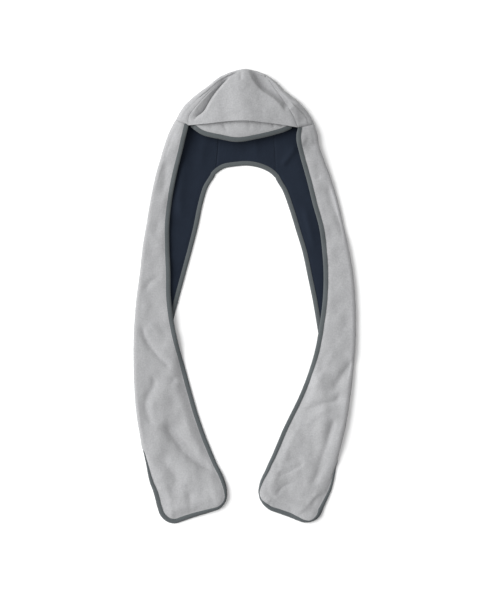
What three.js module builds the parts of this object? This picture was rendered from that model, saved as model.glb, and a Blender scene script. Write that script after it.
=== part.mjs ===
// A lined fleece hooded scarf lying flat on its back, front side up.
// Millimetres. X to the wearer's left on the sheet's right, Y up the hood, Z off the table.
// The hood is a centre panel between two side panels. Each scarf end is a long strip folded
// lengthwise along its outer side, which opens out flat towards its rounded end.
import * as THREE from 'three';

// Cloth: the grey face and the navy lining lie either side of one middle surface.
const cloth = { grey: 1.7, lining: 1.6, halfGap: 0.15, pinched: 0.58 };
const pinchBand = { full: 16, none: 24 };
const seamGap = { grey: 0.3, navy: 0.85 };

// Binding tape: a folded tape round every open edge.
const tape = { width: 10, half: 2.2, slot: 1.6, lip: 1.2, clothEdge: 1.6, startGap: 1.5 };

// Heights of the middle surface over the table.
const rest = { back: 1.85, hem: 2.35, cover: 9, flatLoft: 1.9, rimShare: 0.4 };
const drape = { from: 10, to: 46 };
const hoodBlend = { from: 140, to: 240 };
const heightSpread = 22;

// Brim under the crown's front edge.
const brim = { thick: 3, tuck: 14, drop: 7.5, tipHeight: 25, endHeight: 19, bulge: 2.5, band: 11.5 };

// Mesh steps: rows round the hood, across the strip, down the strip and over the centre panel.
const steps = { side: 6, top: 5, rim: 4, under: 3, down: 16, centre: 8, brimAcross: 10, brimDown: 3 };
const across = steps.top + steps.rim + steps.under;
const bandSteps = [12, 24];
const flatEdgeSpan = { start: 14, end: 60 };
const levelBand = { from: 11, to: 40 };
const cornerAngles = [90, 60, 30, 0];

// Cross sections of each scarf strip, from the hood seam down to the end. Columns: the bound
// front edge, the outer fold and the back edge, as x and y, then the roll of the fold in degrees.
const leftSections = [
  { front: [-123, 374.5], fold: [-152, 387], back: [-58, 352], roll: 180 },
  { front: [-127, 358], fold: [-166, 360], back: [-59.5, 322], roll: 180 },
  { front: [-131.5, 340], fold: [-173, 341], back: [-62.5, 292.4], roll: 180 },
  { front: [-135, 325], fold: [-178.5, 324], back: [-63.4, 280.4], roll: 180 },
  { front: [-140, 305], fold: [-184.5, 304], back: [-64.2, 268.4], roll: 180 },
  { front: [-150, 264], fold: [-196.2, 264], back: [-81.8, 237.6], roll: 180 },
  { front: [-159.9, 211.2], fold: [-207.2, 211.2], back: [-93.5, 198], roll: 180 },
  { front: [-165.4, 158.4], fold: [-216, 158.4], back: [-102.6, 154], roll: 180 },
  { front: [-165.4, 105.6], fold: [-224.8, 105.6], back: [-114.8, 105.6], roll: 180 },
  { front: [-163.2, 52.8], fold: [-230.5, 52.8], back: [-129.1, 52.8], roll: 180 },
  { front: [-162.6, 0], fold: [-237.6, 0], back: [-143.4, 0], roll: 180 },
  { front: [-156.6, -52.8], fold: [-242.4, -52.8], back: [-156.6, -52.8], roll: 180 },
  { front: [-145.6, -105.6], fold: [-244.6, -105.6], back: [-166, -105.6], roll: 180 },
  { front: [-131.3, -158.4], fold: [-244.4, -158.4], back: [-178, -158.4], roll: 180 },
  { front: [-117, -211.2], fold: [-242.2, -211.2], back: [-190, -211.2], roll: 180 },
  { front: [-101.6, -264], fold: [-237.6, -264], back: [-200, -264], roll: 180 },
  { front: [-83, -316.8], fold: [-228.5, -316.8], back: [-207, -316.8], roll: 180 },
  { front: [-75, -336], fold: [-224.5, -338], back: [-209.5, -338], roll: 180 },
  { front: [-71, -346], fold: [-222, -348], back: [-222, -348], roll: 140 },
  { front: [-67, -355], fold: [-219.8, -358], back: [-219.8, -358], roll: 70 },
  { front: [-62.5, -364], fold: [-217.5, -368], back: [-217.5, -368], roll: 0 },
  { front: [-46.5, -396], fold: [-210.5, -403], back: [-210.5, -403], roll: 0 },
  { front: [-38.6, -426], fold: [-198.8, -442], back: [-198.8, -442], roll: 0 },
  { front: [-39, -463.5], fold: [-178, -510], back: [-178, -510], roll: 0 },
];
const rightSections = [
  { front: [117, 369.5], fold: [153.5, 377.5], back: [64, 348], roll: 180 },
  { front: [113.5, 352], fold: [160.5, 353], back: [67, 318], roll: 180 },
  { front: [114.6, 336], fold: [163, 335], back: [68, 288.6], roll: 180 },
  { front: [118.5, 320], fold: [167, 319], back: [68, 274], roll: 180 },
  { front: [123.4, 301], fold: [174, 300], back: [68, 259.6], roll: 180 },
  { front: [136.4, 255.2], fold: [190.6, 255.2], back: [84, 231], roll: 180 },
  { front: [149.6, 202.4], fold: [206.4, 202.4], back: [98, 193], roll: 180 },
  { front: [163.9, 149.6], fold: [218.5, 149.6], back: [112.2, 147], roll: 180 },
  { front: [170.7, 96.8], fold: [230.3, 96.8], back: [127.4, 96.8], roll: 180 },
  { front: [173.6, 44], fold: [239, 44], back: [138.6, 44], roll: 180 },
  { front: [171.6, -8.8], fold: [243.4, -8.8], back: [149.6, -8.8], roll: 180 },
  { front: [165, -61.6], fold: [244.6, -61.6], back: [158.6, -61.6], roll: 180 },
  { front: [155.8, -114.4], fold: [243.3, -114.4], back: [167.5, -114.4], roll: 180 },
  { front: [140.8, -167.2], fold: [238.7, -167.2], back: [178, -167.2], roll: 180 },
  { front: [120.1, -220], fold: [232.6, -220], back: [186, -220], roll: 180 },
  { front: [94.4, -272.8], fold: [225, -272.8], back: [192, -272.8], roll: 180 },
  { front: [69.5, -325.6], fold: [213, -325.6], back: [192, -325.6], roll: 180 },
  { front: [58.5, -352], fold: [206, -352], back: [191, -352], roll: 180 },
  { front: [54, -362], fold: [204, -363], back: [204, -363], roll: 140 },
  { front: [49.5, -372], fold: [202, -374], back: [202, -374], roll: 70 },
  { front: [45.5, -382], fold: [200, -385], back: [200, -385], roll: 0 },
  { front: [34, -408], fold: [194.5, -413], back: [194.5, -413], roll: 0 },
  { front: [30.2, -434], fold: [184.5, -444], back: [184.5, -444], roll: 0 },
  { front: [38, -466], fold: [156, -508], back: [156, -508], roll: 0 },
];
const key = { neck: 4, lastFold: 17, firstFlat: 20 };
const endRadius = { left: [24, 38], right: [24, 36] };

// The hood in plan: outline and panel seams of each half, each up to the top of the seam.
const hood = {
  leftOutline: [[-152, 387], [-133.5, 417.1], [-107.1, 442], [-80.7, 461.1], [-54.3, 481.8], [-31.5, 491]],
  rightOutline: [[153.5, 377.5], [140.8, 400.4], [118.4, 426.8], [85.8, 453.2], [64, 474.5], [42.5, 487.6]],
  apexOutline: [[-31.5, 491], [-14.7, 496.2], [-1.5, 499.6], [18, 496.4], [42.5, 487.6]],
  leftFrontSeam: [[-123, 374.5], [-122.5, 393.4], [-99.7, 423.9], [-65.3, 459.4], [-31.5, 491]],
  rightFrontSeam: [[117, 369.5], [106.3, 395.3], [82.7, 432.7], [55.2, 472.1], [42.5, 487.6]],
  leftBackSeam: [[-58, 352], [-56.5, 400], [-50, 450], [-31.5, 491]],
  rightBackSeam: [[64, 348], [63.5, 400], [58, 450], [42.5, 487.6]],
  frontEdge: [[-123, 374.5], [-103, 376], [-74.1, 378.4], [-34.5, 382.8], [0, 384], [38, 380.8], [80, 375.5], [117, 369.5]],
  neckEdge: [[-64.2, 268.4], [-45.5, 280.5], [-19.1, 285.2], [7.3, 286.8], [33.7, 281.6], [55, 271.5], [68, 259.6]],
};
const tipSetback = 16;

// How high the hood's cloth stands over the table, as loose posts: x, y, height.
const heights = [
  [-5, 395, 41], [-10, 440, 38], [-5, 470, 27], [0, 495, 15], [-34, 488, 14], [44, 484, 14],
  [-60, 388, 36], [-95, 384, 30], [-123, 378, 26], [-60, 430, 33], [-90, 410, 30], [-45, 465, 22],
  [-100, 440, 20], [-135, 405, 19], [-152, 385, 18], [-75, 462, 20],
  [50, 388, 37], [90, 382, 32], [115, 372, 27], [55, 430, 34], [85, 405, 32], [40, 462, 23],
  [80, 455, 21], [110, 425, 24], [135, 405, 20], [153, 375, 18],
  [-135, 350, 25], [-165, 355, 17], [-140, 310, 18], [-178, 318, 14],
  [-152, 260, 12.5], [-192, 265, 11], [-165, 200, 9], [-205, 200, 9],
  [122, 345, 25], [158, 350, 17], [128, 305, 18], [168, 312, 14],
  [142, 258, 12.5], [188, 258, 11], [158, 200, 9], [204, 200, 9],
];

// Folds and wrinkles. Columns: the line in plan, the depth, how wide it is on the line's left
// and on its right, seen along the line, and the length over which its ends fade.
const folds = [
  { line: [[-20, 494], [-60.5, 450.6], [-93.9, 400.2], [-114, 378]], depth: 8, left: 4, right: 17, fade: 16 },
  { line: [[5, 494], [27.7, 458.3], [60.1, 433.8], [88.7, 402.4]], depth: 8, left: 22, right: 5, fade: 26 },
  { line: [[-48, 478], [-92, 428], [-116, 395]], depth: -3, left: 7, right: 9, fade: 20 },
  { line: [[91.5, 446.6], [106.3, 422.8], [121, 391.6]], depth: 5, left: 16, right: 4, fade: 18 },
  { line: [[129, 328], [141.5, 320.3], [167.4, 323.4]], depth: 3, left: 9, right: 6, fade: 12 },
  { line: [[-213.4, -108.5], [-179.5, -145.4]], depth: 1.4, left: 7, right: 7, fade: 15 },
  { line: [[-198, -176], [-216.5, -238]], depth: 1.6, left: 12, right: 12, fade: 22 },
  { line: [[-182.6, -281.2], [-145.4, -330.7], [-102.3, -361.5]], depth: 1.7, left: 9, right: 14, fade: 22 },
  { line: [[-185.7, -349.1], [-145.4, -407.9]], depth: 1.4, left: 14, right: 14, fade: 20 },
  { line: [[-145, -299], [-77.7, -423]], depth: -1.6, left: 16, right: 16, fade: 30 },
  { line: [[-228.8, 0], [-186.6, 41.8]], depth: 1.3, left: 9, right: 9, fade: 18 },
  { line: [[-190.1, 171.6], [-200.6, 136.4]], depth: 1.2, left: 8, right: 8, fade: 15 },
  { line: [[226.6, -142.3], [202, -185.5], [189.4, -200.9]], depth: 1.5, left: 8, right: 8, fade: 15 },
  { line: [[208.1, -213.4], [124.7, -250.4]], depth: 1.6, left: 10, right: 9, fade: 20 },
  { line: [[192.7, -268.8], [174, -318.3], [143.2, -401.7]], depth: 1.7, left: 13, right: 13, fade: 24 },
  { line: [[189.4, -417.1], [158.6, -441.8], [118.6, -481.8]], depth: -1.8, left: 7, right: 16, fade: 16 },
  { line: [[184.6, 234.7], [198.4, 185.7]], depth: 1.2, left: 8, right: 8, fade: 16 },
];

const finishes = {
  grey: { color: new THREE.Color(0.66, 0.665, 0.675), roughness: 0.95, metalness: 0 },
  navy: { color: new THREE.Color(0.1, 0.13, 0.18), roughness: 0.95, metalness: 0 },
  binding: { color: new THREE.Color(0.36, 0.385, 0.39), roughness: 0.85, metalness: 0 },
};

const mix = (a, b, t) => a + (b - a) * t;
const clamp = (t) => Math.min(1, Math.max(0, t));
const smooth = (from, to, value) => {
  const t = clamp((value - from) / (to - from));
  return t * t * (3 - 2 * t);
};
const quarterRound = (t) => Math.sqrt(1 - (1 - clamp(t)) ** 2);
const flat = ([x, y]) => new THREE.Vector3(x, y, 0);
const curveOf = (points) => new THREE.CatmullRomCurve3(points.map(flat));

// Nearest place on a polyline in plan: the distance, the side of it and the length along it.
function nearest(line, x, y) {
  let best = { gap: Infinity, side: 0, along: 0, length: 0 };
  let walked = 0;
  for (let i = 0; i + 1 < line.length; i += 1) {
    const a = line[i];
    const dx = line[i + 1].x - a.x;
    const dy = line[i + 1].y - a.y;
    const length = Math.hypot(dx, dy);
    const t = clamp(((x - a.x) * dx + (y - a.y) * dy) / (length * length));
    const gap = Math.hypot(x - a.x - dx * t, y - a.y - dy * t);
    if (gap < best.gap) {
      best = { gap, side: dx * (y - a.y) - dy * (x - a.x), along: walked + length * t };
    }
    walked += length;
  }
  best.length = walked;
  return best;
}

const foldLines = folds.map((fold) => ({ ...fold, path: curveOf(fold.line).getPoints(12) }));

// The relief of all folds at a place: a valley is below zero, a ridge above it.
function relief(x, y) {
  let total = 0;
  for (const fold of foldLines) {
    const { gap, side, along, length } = nearest(fold.path, x, y);
    const reach = side > 0 ? fold.left : fold.right;
    const fade = smooth(0, fold.fade, along) * smooth(0, fold.fade, length - along);
    total -= fold.depth * fade * Math.exp(-((gap / reach) ** 2));
  }
  return total;
}

// The height of the front cloth over the hood and the folded strips, before its edges round off.
function openHeight(x, y) {
  let weight = 0;
  let sum = 0;
  for (const [px, py, z] of heights) {
    const w = Math.exp(-((x - px) ** 2 + (y - py) ** 2) / (2 * heightSpread ** 2)) + 1e-12;
    weight += w;
    sum += w * z;
  }
  return mix(rest.cover, sum / weight, smooth(hoodBlend.from, hoodBlend.to, y)) + relief(x, y);
}

const sectionCurves = (table) => ({
  front: curveOf(table.map((row) => row.front)),
  fold: curveOf(table.map((row) => row.fold)),
  back: curveOf(table.map((row) => row.back)),
});
const leftCurves = sectionCurves(leftSections);
const rightCurves = sectionCurves(rightSections);
const seams = Object.fromEntries(Object.entries(hood).map(([name, points]) => [name, curveOf(points)]));

// The whole outline, up the left strip, over the hood and down the right strip, and the hem
// of the back layer, which is the bound edge that lies on the table.
const samples = 160;
const outline = [
  ...leftCurves.fold.getPoints(samples).reverse(),
  ...seams.leftOutline.getPoints(samples / 2),
  ...seams.apexOutline.getPoints(samples / 4),
  ...seams.rightOutline.getPoints(samples / 2).reverse(),
  ...rightCurves.fold.getPoints(samples),
];
const lastRow = leftSections.length - 1;
const hemSide = (curve) => Array.from({ length: samples }, (_, i) =>
  curve.getPoint(mix(key.neck, key.lastFold, i / (samples - 1)) / lastRow));
const hem = [
  ...hemSide(leftCurves.back).reverse(),
  ...seams.neckEdge.getPoints(samples / 4),
  ...hemSide(rightCurves.back),
];

// Middle surface of the front cloth where it is folded over: it rounds off at the outline.
function foldedTop(x, y, height) {
  const gap = nearest(outline, x, y).gap;
  const rim = mix(rest.back, height, rest.rimShare);
  const reach = (height - rest.back) / 2;
  return mix(rim, height, quarterRound(gap / reach));
}

function foldedUnder(x, y, height) {
  const gap = nearest(outline, x, y).gap;
  const rim = mix(rest.back, height, rest.rimShare);
  const reach = rim - rest.back;
  const lift = (rest.hem - rest.back) * (1 - smooth(10, 22, nearest(hem, x, y).gap));
  return mix(rim, rest.back + lift, quarterRound(gap / reach));
}

// Distances from the section's start at which the front cloth has its points.
function topSteps(length, rimReach) {
  const free = length - rimReach;
  const band = bandSteps.map((step, i) => Math.min(step, free * (i + 1) * 0.25));
  const stepsLeft = steps.top - band.length;
  const others = Array.from({ length: stepsLeft }, (_, i) => mix(band[1], free, (i + 1) / stepsLeft));
  return [0, ...band, ...others];
}

// One cross section, from the front edge over the outer fold to the back edge.
function section({ front, fold, back, roll }, endLine) {
  const inward = front.clone().sub(fold);
  const length = inward.length();
  inward.normalize();
  const top = (gap) => fold.clone().addScaledVector(inward, gap);
  if (roll === 0) {
    const down = clamp((fold.distanceTo(back) + flatEdgeSpan.start) / flatEdgeSpan.end);
    return flatSection(top, length, down, endLine);
  }
  const beyond = (p) => p.clone().sub(back).dot(inward);
  const topHeight = (p) => {
    const covered = 1 - smooth(drape.from, drape.to, beyond(p));
    const loose = rest.hem + rest.flatLoft * smooth(0, 40, length - fold.distanceTo(p));
    return mix(loose + relief(p.x, p.y) * 0.5, openHeight(p.x, p.y), roll === 180 ? covered : covered * 0.75);
  };
  const crest = topHeight(top(2));
  const rimReach = Math.min((crest - rest.back) / 2, length * 0.5);
  const points = topSteps(length, rimReach).map((step) => {
    const p = top(length - step);
    return new THREE.Vector3(p.x, p.y, foldedTop(p.x, p.y, topHeight(p)));
  });
  const rimZ = mix(rest.back, crest, rest.rimShare);
  const underReach = Math.min(rimZ - rest.back, length * 0.5);
  const rimSteps = roll === 180 ? steps.rim : steps.rim + steps.under;
  for (let i = 1; i <= rimSteps; i += 1) {
    const angle = ((i / rimSteps) * roll - 90) * THREE.MathUtils.DEG2RAD;
    const gap = (angle < 0 ? rimReach : underReach) * (1 - Math.cos(angle));
    const reach = angle < 0 ? crest - rimZ : rimZ - rest.back;
    const p = top(gap);
    points.push(new THREE.Vector3(p.x, p.y, rimZ - reach * Math.sin(angle)));
  }
  if (roll === 180) {
    const start = top(underReach);
    const run = back.clone().sub(start);
    const width = run.length();
    run.normalize();
    const fromBack = [width - Math.min(24, width * 0.9), width - Math.min(12, width * 0.8), width];
    for (const step of fromBack) {
      const p = start.clone().addScaledVector(run, step);
      points.push(new THREE.Vector3(p.x, p.y, foldedUnder(p.x, p.y, crest)));
    }
  }
  return points;
}

// A cross section where the strip lies open in one layer.
function flatSection(top, length, down, endLine) {
  const span = mix(flatEdgeSpan.start, flatEdgeSpan.end, down);
  const tail = steps.rim + steps.under;
  const gaps = [...topSteps(length, span), ...Array.from({ length: tail }, (_, i) =>
    length - span + (span * (i + 1)) / tail)];
  return gaps.map((gap) => {
    const p = top(length - gap);
    const inside = Math.min(gap, length - gap, nearest(endLine, p.x, p.y).gap);
    const soft = smooth(levelBand.from, levelBand.to, inside);
    return new THREE.Vector3(p.x, p.y, rest.hem + soft * (rest.flatLoft + relief(p.x, p.y)));
  });
}

// All cross sections of one half: the hood's side panel from its tip, then the strip.
function stripGrid(table, curves, outlineCurve, frontSeam, backSeam, radii) {
  const grid = [];
  for (let i = 0; i < steps.side; i += 1) {
    const t = 1 - i / steps.side;
    const short = (curve) => curve.getPointAt(t * (1 - tipSetback / curve.getLength()));
    grid.push(section({
      front: short(frontSeam), fold: outlineCurve.getPointAt(t), back: short(backSeam), roll: 180,
    }));
  }
  const at = (row, roll) => ({
    front: curves.front.getPoint(row / lastRow),
    fold: curves.fold.getPoint(row / lastRow),
    back: curves.back.getPoint(row / lastRow),
    roll,
  });
  for (let row = 0; row < key.neck; row += 1) grid.push(section(at(row, 180)));
  for (let i = 0; i < steps.down; i += 1) {
    grid.push(section(at(mix(key.neck, key.lastFold, i / steps.down), 180)));
  }
  const end = at(lastRow, 0);
  const endLine = [end.front, end.fold];
  for (let row = key.lastFold; row < lastRow - 1; row += 1) grid.push(section(at(row, table[row].roll), endLine));
  return grid.concat(endRows(at(lastRow - 1, 0), end, endLine, radii));
}

// The rounded end: rows set in at both sides along two quarter circles.
function endRows(before, end, endLine, [frontRadius, foldRadius]) {
  return cornerAngles.map((degrees) => {
    const angle = degrees * THREE.MathUtils.DEG2RAD;
    const side = (name, radius) => {
      const back = before[name].clone().sub(end[name]).normalize();
      return end[name].clone().addScaledVector(back, radius * (1 - Math.cos(angle)));
    };
    const front = side('front', frontRadius);
    const fold = side('fold', foldRadius);
    const over = fold.clone().sub(front).normalize();
    front.addScaledVector(over, frontRadius * (1 - Math.sin(angle)));
    fold.addScaledVector(over, -foldRadius * (1 - Math.sin(angle)));
    const back = fold.clone().addScaledVector(over, -flatEdgeSpan.end);
    return section({ front, fold, back, roll: 0 }, endLine);
  });
}

// Rows of the strip grids that other pieces meet.
const row = { seam: steps.side, neck: steps.side + key.neck };
row.lastFold = row.neck + steps.down;
row.firstFlat = row.lastFold + key.firstFlat - key.lastFold;

const left = stripGrid(leftSections, leftCurves, seams.leftOutline, seams.leftFrontSeam,
  seams.leftBackSeam, endRadius.left);
const right = stripGrid(rightSections, rightCurves, seams.rightOutline, seams.rightFrontSeam,
  seams.rightBackSeam, endRadius.right);
row.end = left.length - 1;

// The border of a strip along the centre panel: up the front seam, over the top, down the back.
const centreBorder = (strip) => [
  ...strip.slice(0, row.seam + 1).reverse().map((points) => points[0]),
  ...strip[0].slice(1),
  ...strip.slice(1, row.neck + 1).map((points) => points[across]),
];

function centreGrid() {
  const a = centreBorder(left);
  const b = centreBorder(right);
  const crest = row.seam + steps.top + steps.rim / 2;
  const last = a.length - 1;
  const bow = (curve, rowIndex, u) => {
    const p = curve.getPointAt(u);
    return p.sub(new THREE.Vector3(mix(a[rowIndex].x, b[rowIndex].x, u), mix(a[rowIndex].y, b[rowIndex].y, u), 0));
  };
  return a.map((start, r) => {
    const points = [start.clone()];
    const front = r <= crest;
    const ends = front ? [0, crest] : [crest, last];
    const share = clamp((a[r].y - a[ends[0]].y) / (a[ends[1]].y - a[ends[0]].y));
    for (let k = 1; k < steps.centre; k += 1) {
      const u = k / steps.centre;
      const from = bow(front ? seams.frontEdge : seams.apexOutline, ends[0], u);
      const to = bow(front ? seams.apexOutline : seams.neckEdge, ends[1], u);
      const x = mix(a[r].x, b[r].x, u) + mix(from.x, to.x, share);
      const y = mix(a[r].y, b[r].y, u) + mix(from.y, to.y, share);
      const height = openHeight(x, y);
      points.push(new THREE.Vector3(x, y, front ? foldedTop(x, y, height) : foldedUnder(x, y, height)));
    }
    points.push(b[r].clone());
    return points;
  });
}
const centre = centreGrid();

// The brim: a soft lens that hangs from under the crown's front edge to a shallow point.
const brimEdge = curveOf([[-118, 371], [-93.9, 354.2], [-54.3, 344.3], [-16.9, 338.1],
  [24.9, 344.3], [64.5, 353.5], [90.9, 361.9], [103.5, 368.5]]);
function brimGrid() {
  const grid = [];
  for (let v = 0; v <= steps.brimDown; v += 1) {
    const points = [];
    for (let k = 0; k <= steps.brimAcross; k += 1) {
      const u = k / steps.brimAcross;
      const edge = brimEdge.getPointAt(u);
      const top = seams.frontEdge.getPointAt(mix(0.04, 0.94, u)).add(new THREE.Vector3(0, brim.tuck, 0));
      const topZ = foldedTop(top.x, top.y, openHeight(top.x, top.y)) - brim.drop;
      const edgeZ = mix(brim.endHeight, brim.tipHeight, Math.sin(Math.PI * u));
      const band = Math.min(0.9, brim.band / edge.distanceTo(top));
      const t = [0, band, mix(band, 1, 0.5), 1][v];
      const z = mix(Math.min(edgeZ, topZ), topZ, t) + brim.bulge * Math.sin(Math.PI * Math.min(1, t / 0.75));
      points.push(new THREE.Vector3(mix(edge.x, top.x, t), mix(edge.y, top.y, t), z));
    }
    grid.push(points);
  }
  return grid;
}
const brimSheet = brimGrid();

// Normals of all sheets, shared where their borders meet, pointing out of the grey side.
const placeKey = (p) => `${p.x.toFixed(3)} ${p.y.toFixed(3)} ${p.z.toFixed(3)}`;
function addNormals(sums, grid, turn) {
  for (let i = 0; i + 1 < grid.length; i += 1) {
    for (let j = 0; j + 1 < grid[0].length; j += 1) {
      const corners = [grid[i][j], grid[i][j + 1], grid[i + 1][j + 1], grid[i + 1][j]];
      const one = corners[2].clone().sub(corners[0]);
      const two = corners[3].clone().sub(corners[1]);
      const normal = one.cross(two).multiplyScalar(turn);
      for (const corner of corners) {
        const name = placeKey(corner);
        if (!sums.has(name)) sums.set(name, new THREE.Vector3());
        sums.get(name).add(normal);
      }
    }
  }
}
const normals = new Map();
addNormals(normals, left, 1);
addNormals(normals, right, -1);
addNormals(normals, centre, 1);
for (const normal of normals.values()) normal.normalize();
const brimNormals = new Map();
addNormals(brimNormals, brimSheet, 1);
for (const normal of brimNormals.values()) normal.normalize();

// A run of binding tape: its places, with the direction into the cloth at each.
function tapeRun(places, all) {
  return places.map((place, i) => {
    const p = place.p;
    const normal = all.get(placeKey(p));
    const before = places[Math.max(0, i - 1)].p;
    const after = places[Math.min(places.length - 1, i + 1)].p;
    const along = after.clone().sub(before).normalize();
    const inward = place.next ? place.next.clone().sub(p).normalize() : along.clone().cross(normal).normalize();
    const reach = place.next ? place.next.distanceTo(p) : 1;
    const turn = place.next ? all.get(placeKey(place.next)).clone().sub(normal).divideScalar(reach) : new THREE.Vector3();
    return { p, normal, along, inward, turn };
  });
}
const down = (strip, from, to, j) => strip.slice(from, to + 1).map((points) => ({
  p: points[j], next: j === 0 ? points[1] : null,
}));
const endRowOf = (strip) => strip[row.end].slice(1).map((p) => ({ p, next: null }));
const plainEnd = (places) => places.map((place, i) => (i > places.length - cornerAngles.length
  ? { p: place.p, next: null } : place));
const runs = {
  left: tapeRun([...plainEnd(down(left, row.seam, row.end, 0)), ...endRowOf(left),
    ...down(left, row.firstFlat, row.end - 1, across).reverse()], normals),
  right: tapeRun([...down(right, row.firstFlat, row.end, across),
    ...endRowOf(right).reverse().slice(1), ...plainEnd(down(right, row.seam, row.end, 0)).reverse()], normals),
  neck: tapeRun([...down(left, row.neck, row.lastFold, across).reverse(),
    ...centre[centre.length - 1].slice(1, -1).map((p) => ({ p, next: null })),
    ...down(right, row.neck, row.lastFold, across)], normals),
  brim: tapeRun(brimSheet[0].map((p, k) => ({ p, next: brimSheet[1][k] })).reverse(), brimNormals),
};
const edgeMoves = new Map();
for (const run of Object.values(runs)) {
  for (const { p, inward } of run) edgeMoves.set(placeKey(p), inward.clone().multiplyScalar(tape.clothEdge));
}

// How far a place is from the nearest bound edge of its own layer.
function boundGap(p, normal, allRuns) {
  let best = Infinity;
  for (const run of allRuns) {
    for (let i = 0; i + 1 < run.length; i += 1) {
      if (run[i].normal.dot(normal) < 0.3) continue;
      const segment = new THREE.Line3(run[i].p, run[i + 1].p);
      best = Math.min(best, segment.closestPointToPoint(p, true, new THREE.Vector3()).distanceTo(p));
    }
  }
  return best;
}

function bodyOf(positions, triangles) {
  const geometry = new THREE.BufferGeometry();
  geometry.setAttribute('position', new THREE.Float32BufferAttribute(positions.flatMap((p) => [p.x, p.y, p.z]), 3));
  geometry.setIndex(triangles);
  geometry.computeVertexNormals();
  return geometry;
}

// A wall between two offsets of a sheet, closed all round. Its free borders stop short of
// the next piece by the seam gap, and its bound ones inside the tape.
function wallOf(grid, { turn, high, low, all, runList, borderGap }) {
  const rows = grid.length;
  const columns = grid[0].length;
  const upper = [];
  const lower = [];
  grid.forEach((points, i) => points.forEach((p, j) => {
    const normal = all.get(placeKey(p));
    const pinch = mix(cloth.pinched, 1, smooth(pinchBand.full, pinchBand.none, boundGap(p, normal, runList)));
    const moved = p.clone();
    const bound = edgeMoves.get(placeKey(p));
    if (bound) moved.add(bound);
    const towards = [
      i === 0 && grid[1][j], i === rows - 1 && grid[rows - 2][j],
      j === 0 && points[1], j === columns - 1 && points[columns - 2],
    ];
    for (const other of towards) {
      if (other && !bound) moved.addScaledVector(other.clone().sub(p).normalize(), borderGap);
    }
    upper.push(moved.clone().addScaledVector(normal, high(pinch)));
    lower.push(moved.clone().addScaledVector(normal, low(pinch)));
  }));
  const count = rows * columns;
  const triangles = [];
  const quad = (a, b, c, d) => {
    if (turn > 0) triangles.push(a, b, c, a, c, d);
    else triangles.push(a, c, b, a, d, c);
  };
  for (let i = 0; i + 1 < rows; i += 1) {
    for (let j = 0; j + 1 < columns; j += 1) {
      const a = i * columns + j;
      quad(a, a + 1, a + columns + 1, a + columns);
      quad(count + a, count + a + columns, count + a + columns + 1, count + a + 1);
    }
  }
  for (let j = 0; j + 1 < columns; j += 1) {
    const z = (rows - 1) * columns + j;
    quad(j, count + j, count + j + 1, j + 1);
    quad(z, z + 1, count + z + 1, count + z);
  }
  for (let i = 0; i + 1 < rows; i += 1) {
    const a = i * columns;
    const z = a + columns - 1;
    quad(a, a + columns, count + a + columns, count + a);
    quad(z, count + z, count + z + columns, z + columns);
  }
  return bodyOf([...upper, ...lower], triangles);
}

const greySide = { high: (pinch) => (cloth.halfGap + cloth.grey) * pinch, low: () => cloth.halfGap };
const liningSide = { high: () => -cloth.halfGap, low: (pinch) => -(cloth.halfGap + cloth.lining) * pinch };

// Folded tape: a C-shaped section swept along a run, from its closed edge into the cloth.
// slant is 1 where the run follows the sheet's rows and -1 where it goes against them, so that
// the tape's faces split along the same diagonals as the cloth's.
function tapeBody(run, { startGap, endGap, slant }) {
  const profile = [
    [tape.width, tape.half], [0, tape.half], [0, -tape.half], [tape.width, -tape.half],
    [tape.width, -tape.slot], [tape.lip, -tape.slot], [tape.lip, tape.slot], [tape.width, tape.slot],
  ];
  const positions = [];
  run.forEach(({ p, normal, along, inward, turn }, i) => {
    const shift = i === 0 ? startGap : i === run.length - 1 ? -endGap : 0;
    for (const [depth, height] of profile) {
      positions.push(p.clone().addScaledVector(along, shift)
        .addScaledVector(inward, depth).addScaledVector(normal, height).addScaledVector(turn, depth * height));
    }
  });
  const sides = profile.length;
  const triangles = [];
  for (let i = 0; i + 1 < run.length; i += 1) {
    for (let s = 0; s < sides; s += 1) {
      const a = i * sides + s;
      const b = i * sides + ((s + 1) % sides);
      const outward = profile[(s + 1) % sides][0] < profile[s][0];
      if (outward === slant > 0) triangles.push(a, a + sides, b, b, a + sides, b + sides);
      else triangles.push(a, b + sides, b, a, a + sides, b + sides);
    }
  }
  const caps = [[0, 1, 6], [0, 6, 7], [1, 2, 5], [1, 5, 6], [2, 3, 4], [2, 4, 5]];
  const last = (run.length - 1) * sides;
  for (const [a, b, c] of caps) {
    triangles.push(a, b, c);
    triangles.push(last + a, last + c, last + b);
  }
  return bodyOf(positions, triangles);
}

const group = new THREE.Group();
function addPiece(name, geometry, finish) {
  const mesh = new THREE.Mesh(geometry, new THREE.MeshStandardMaterial(finishes[finish]));
  mesh.name = name;
  group.add(mesh);
}

const clothRuns = [runs.left, runs.right, runs.neck];
function addCloth(name, grid, turn, finish) {
  const side = finish === 'grey' ? greySide : liningSide;
  const options = { turn, ...side, all: normals, runList: clothRuns, borderGap: seamGap[finish] };
  addPiece(name, wallOf(grid, options), finish);
}

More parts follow.
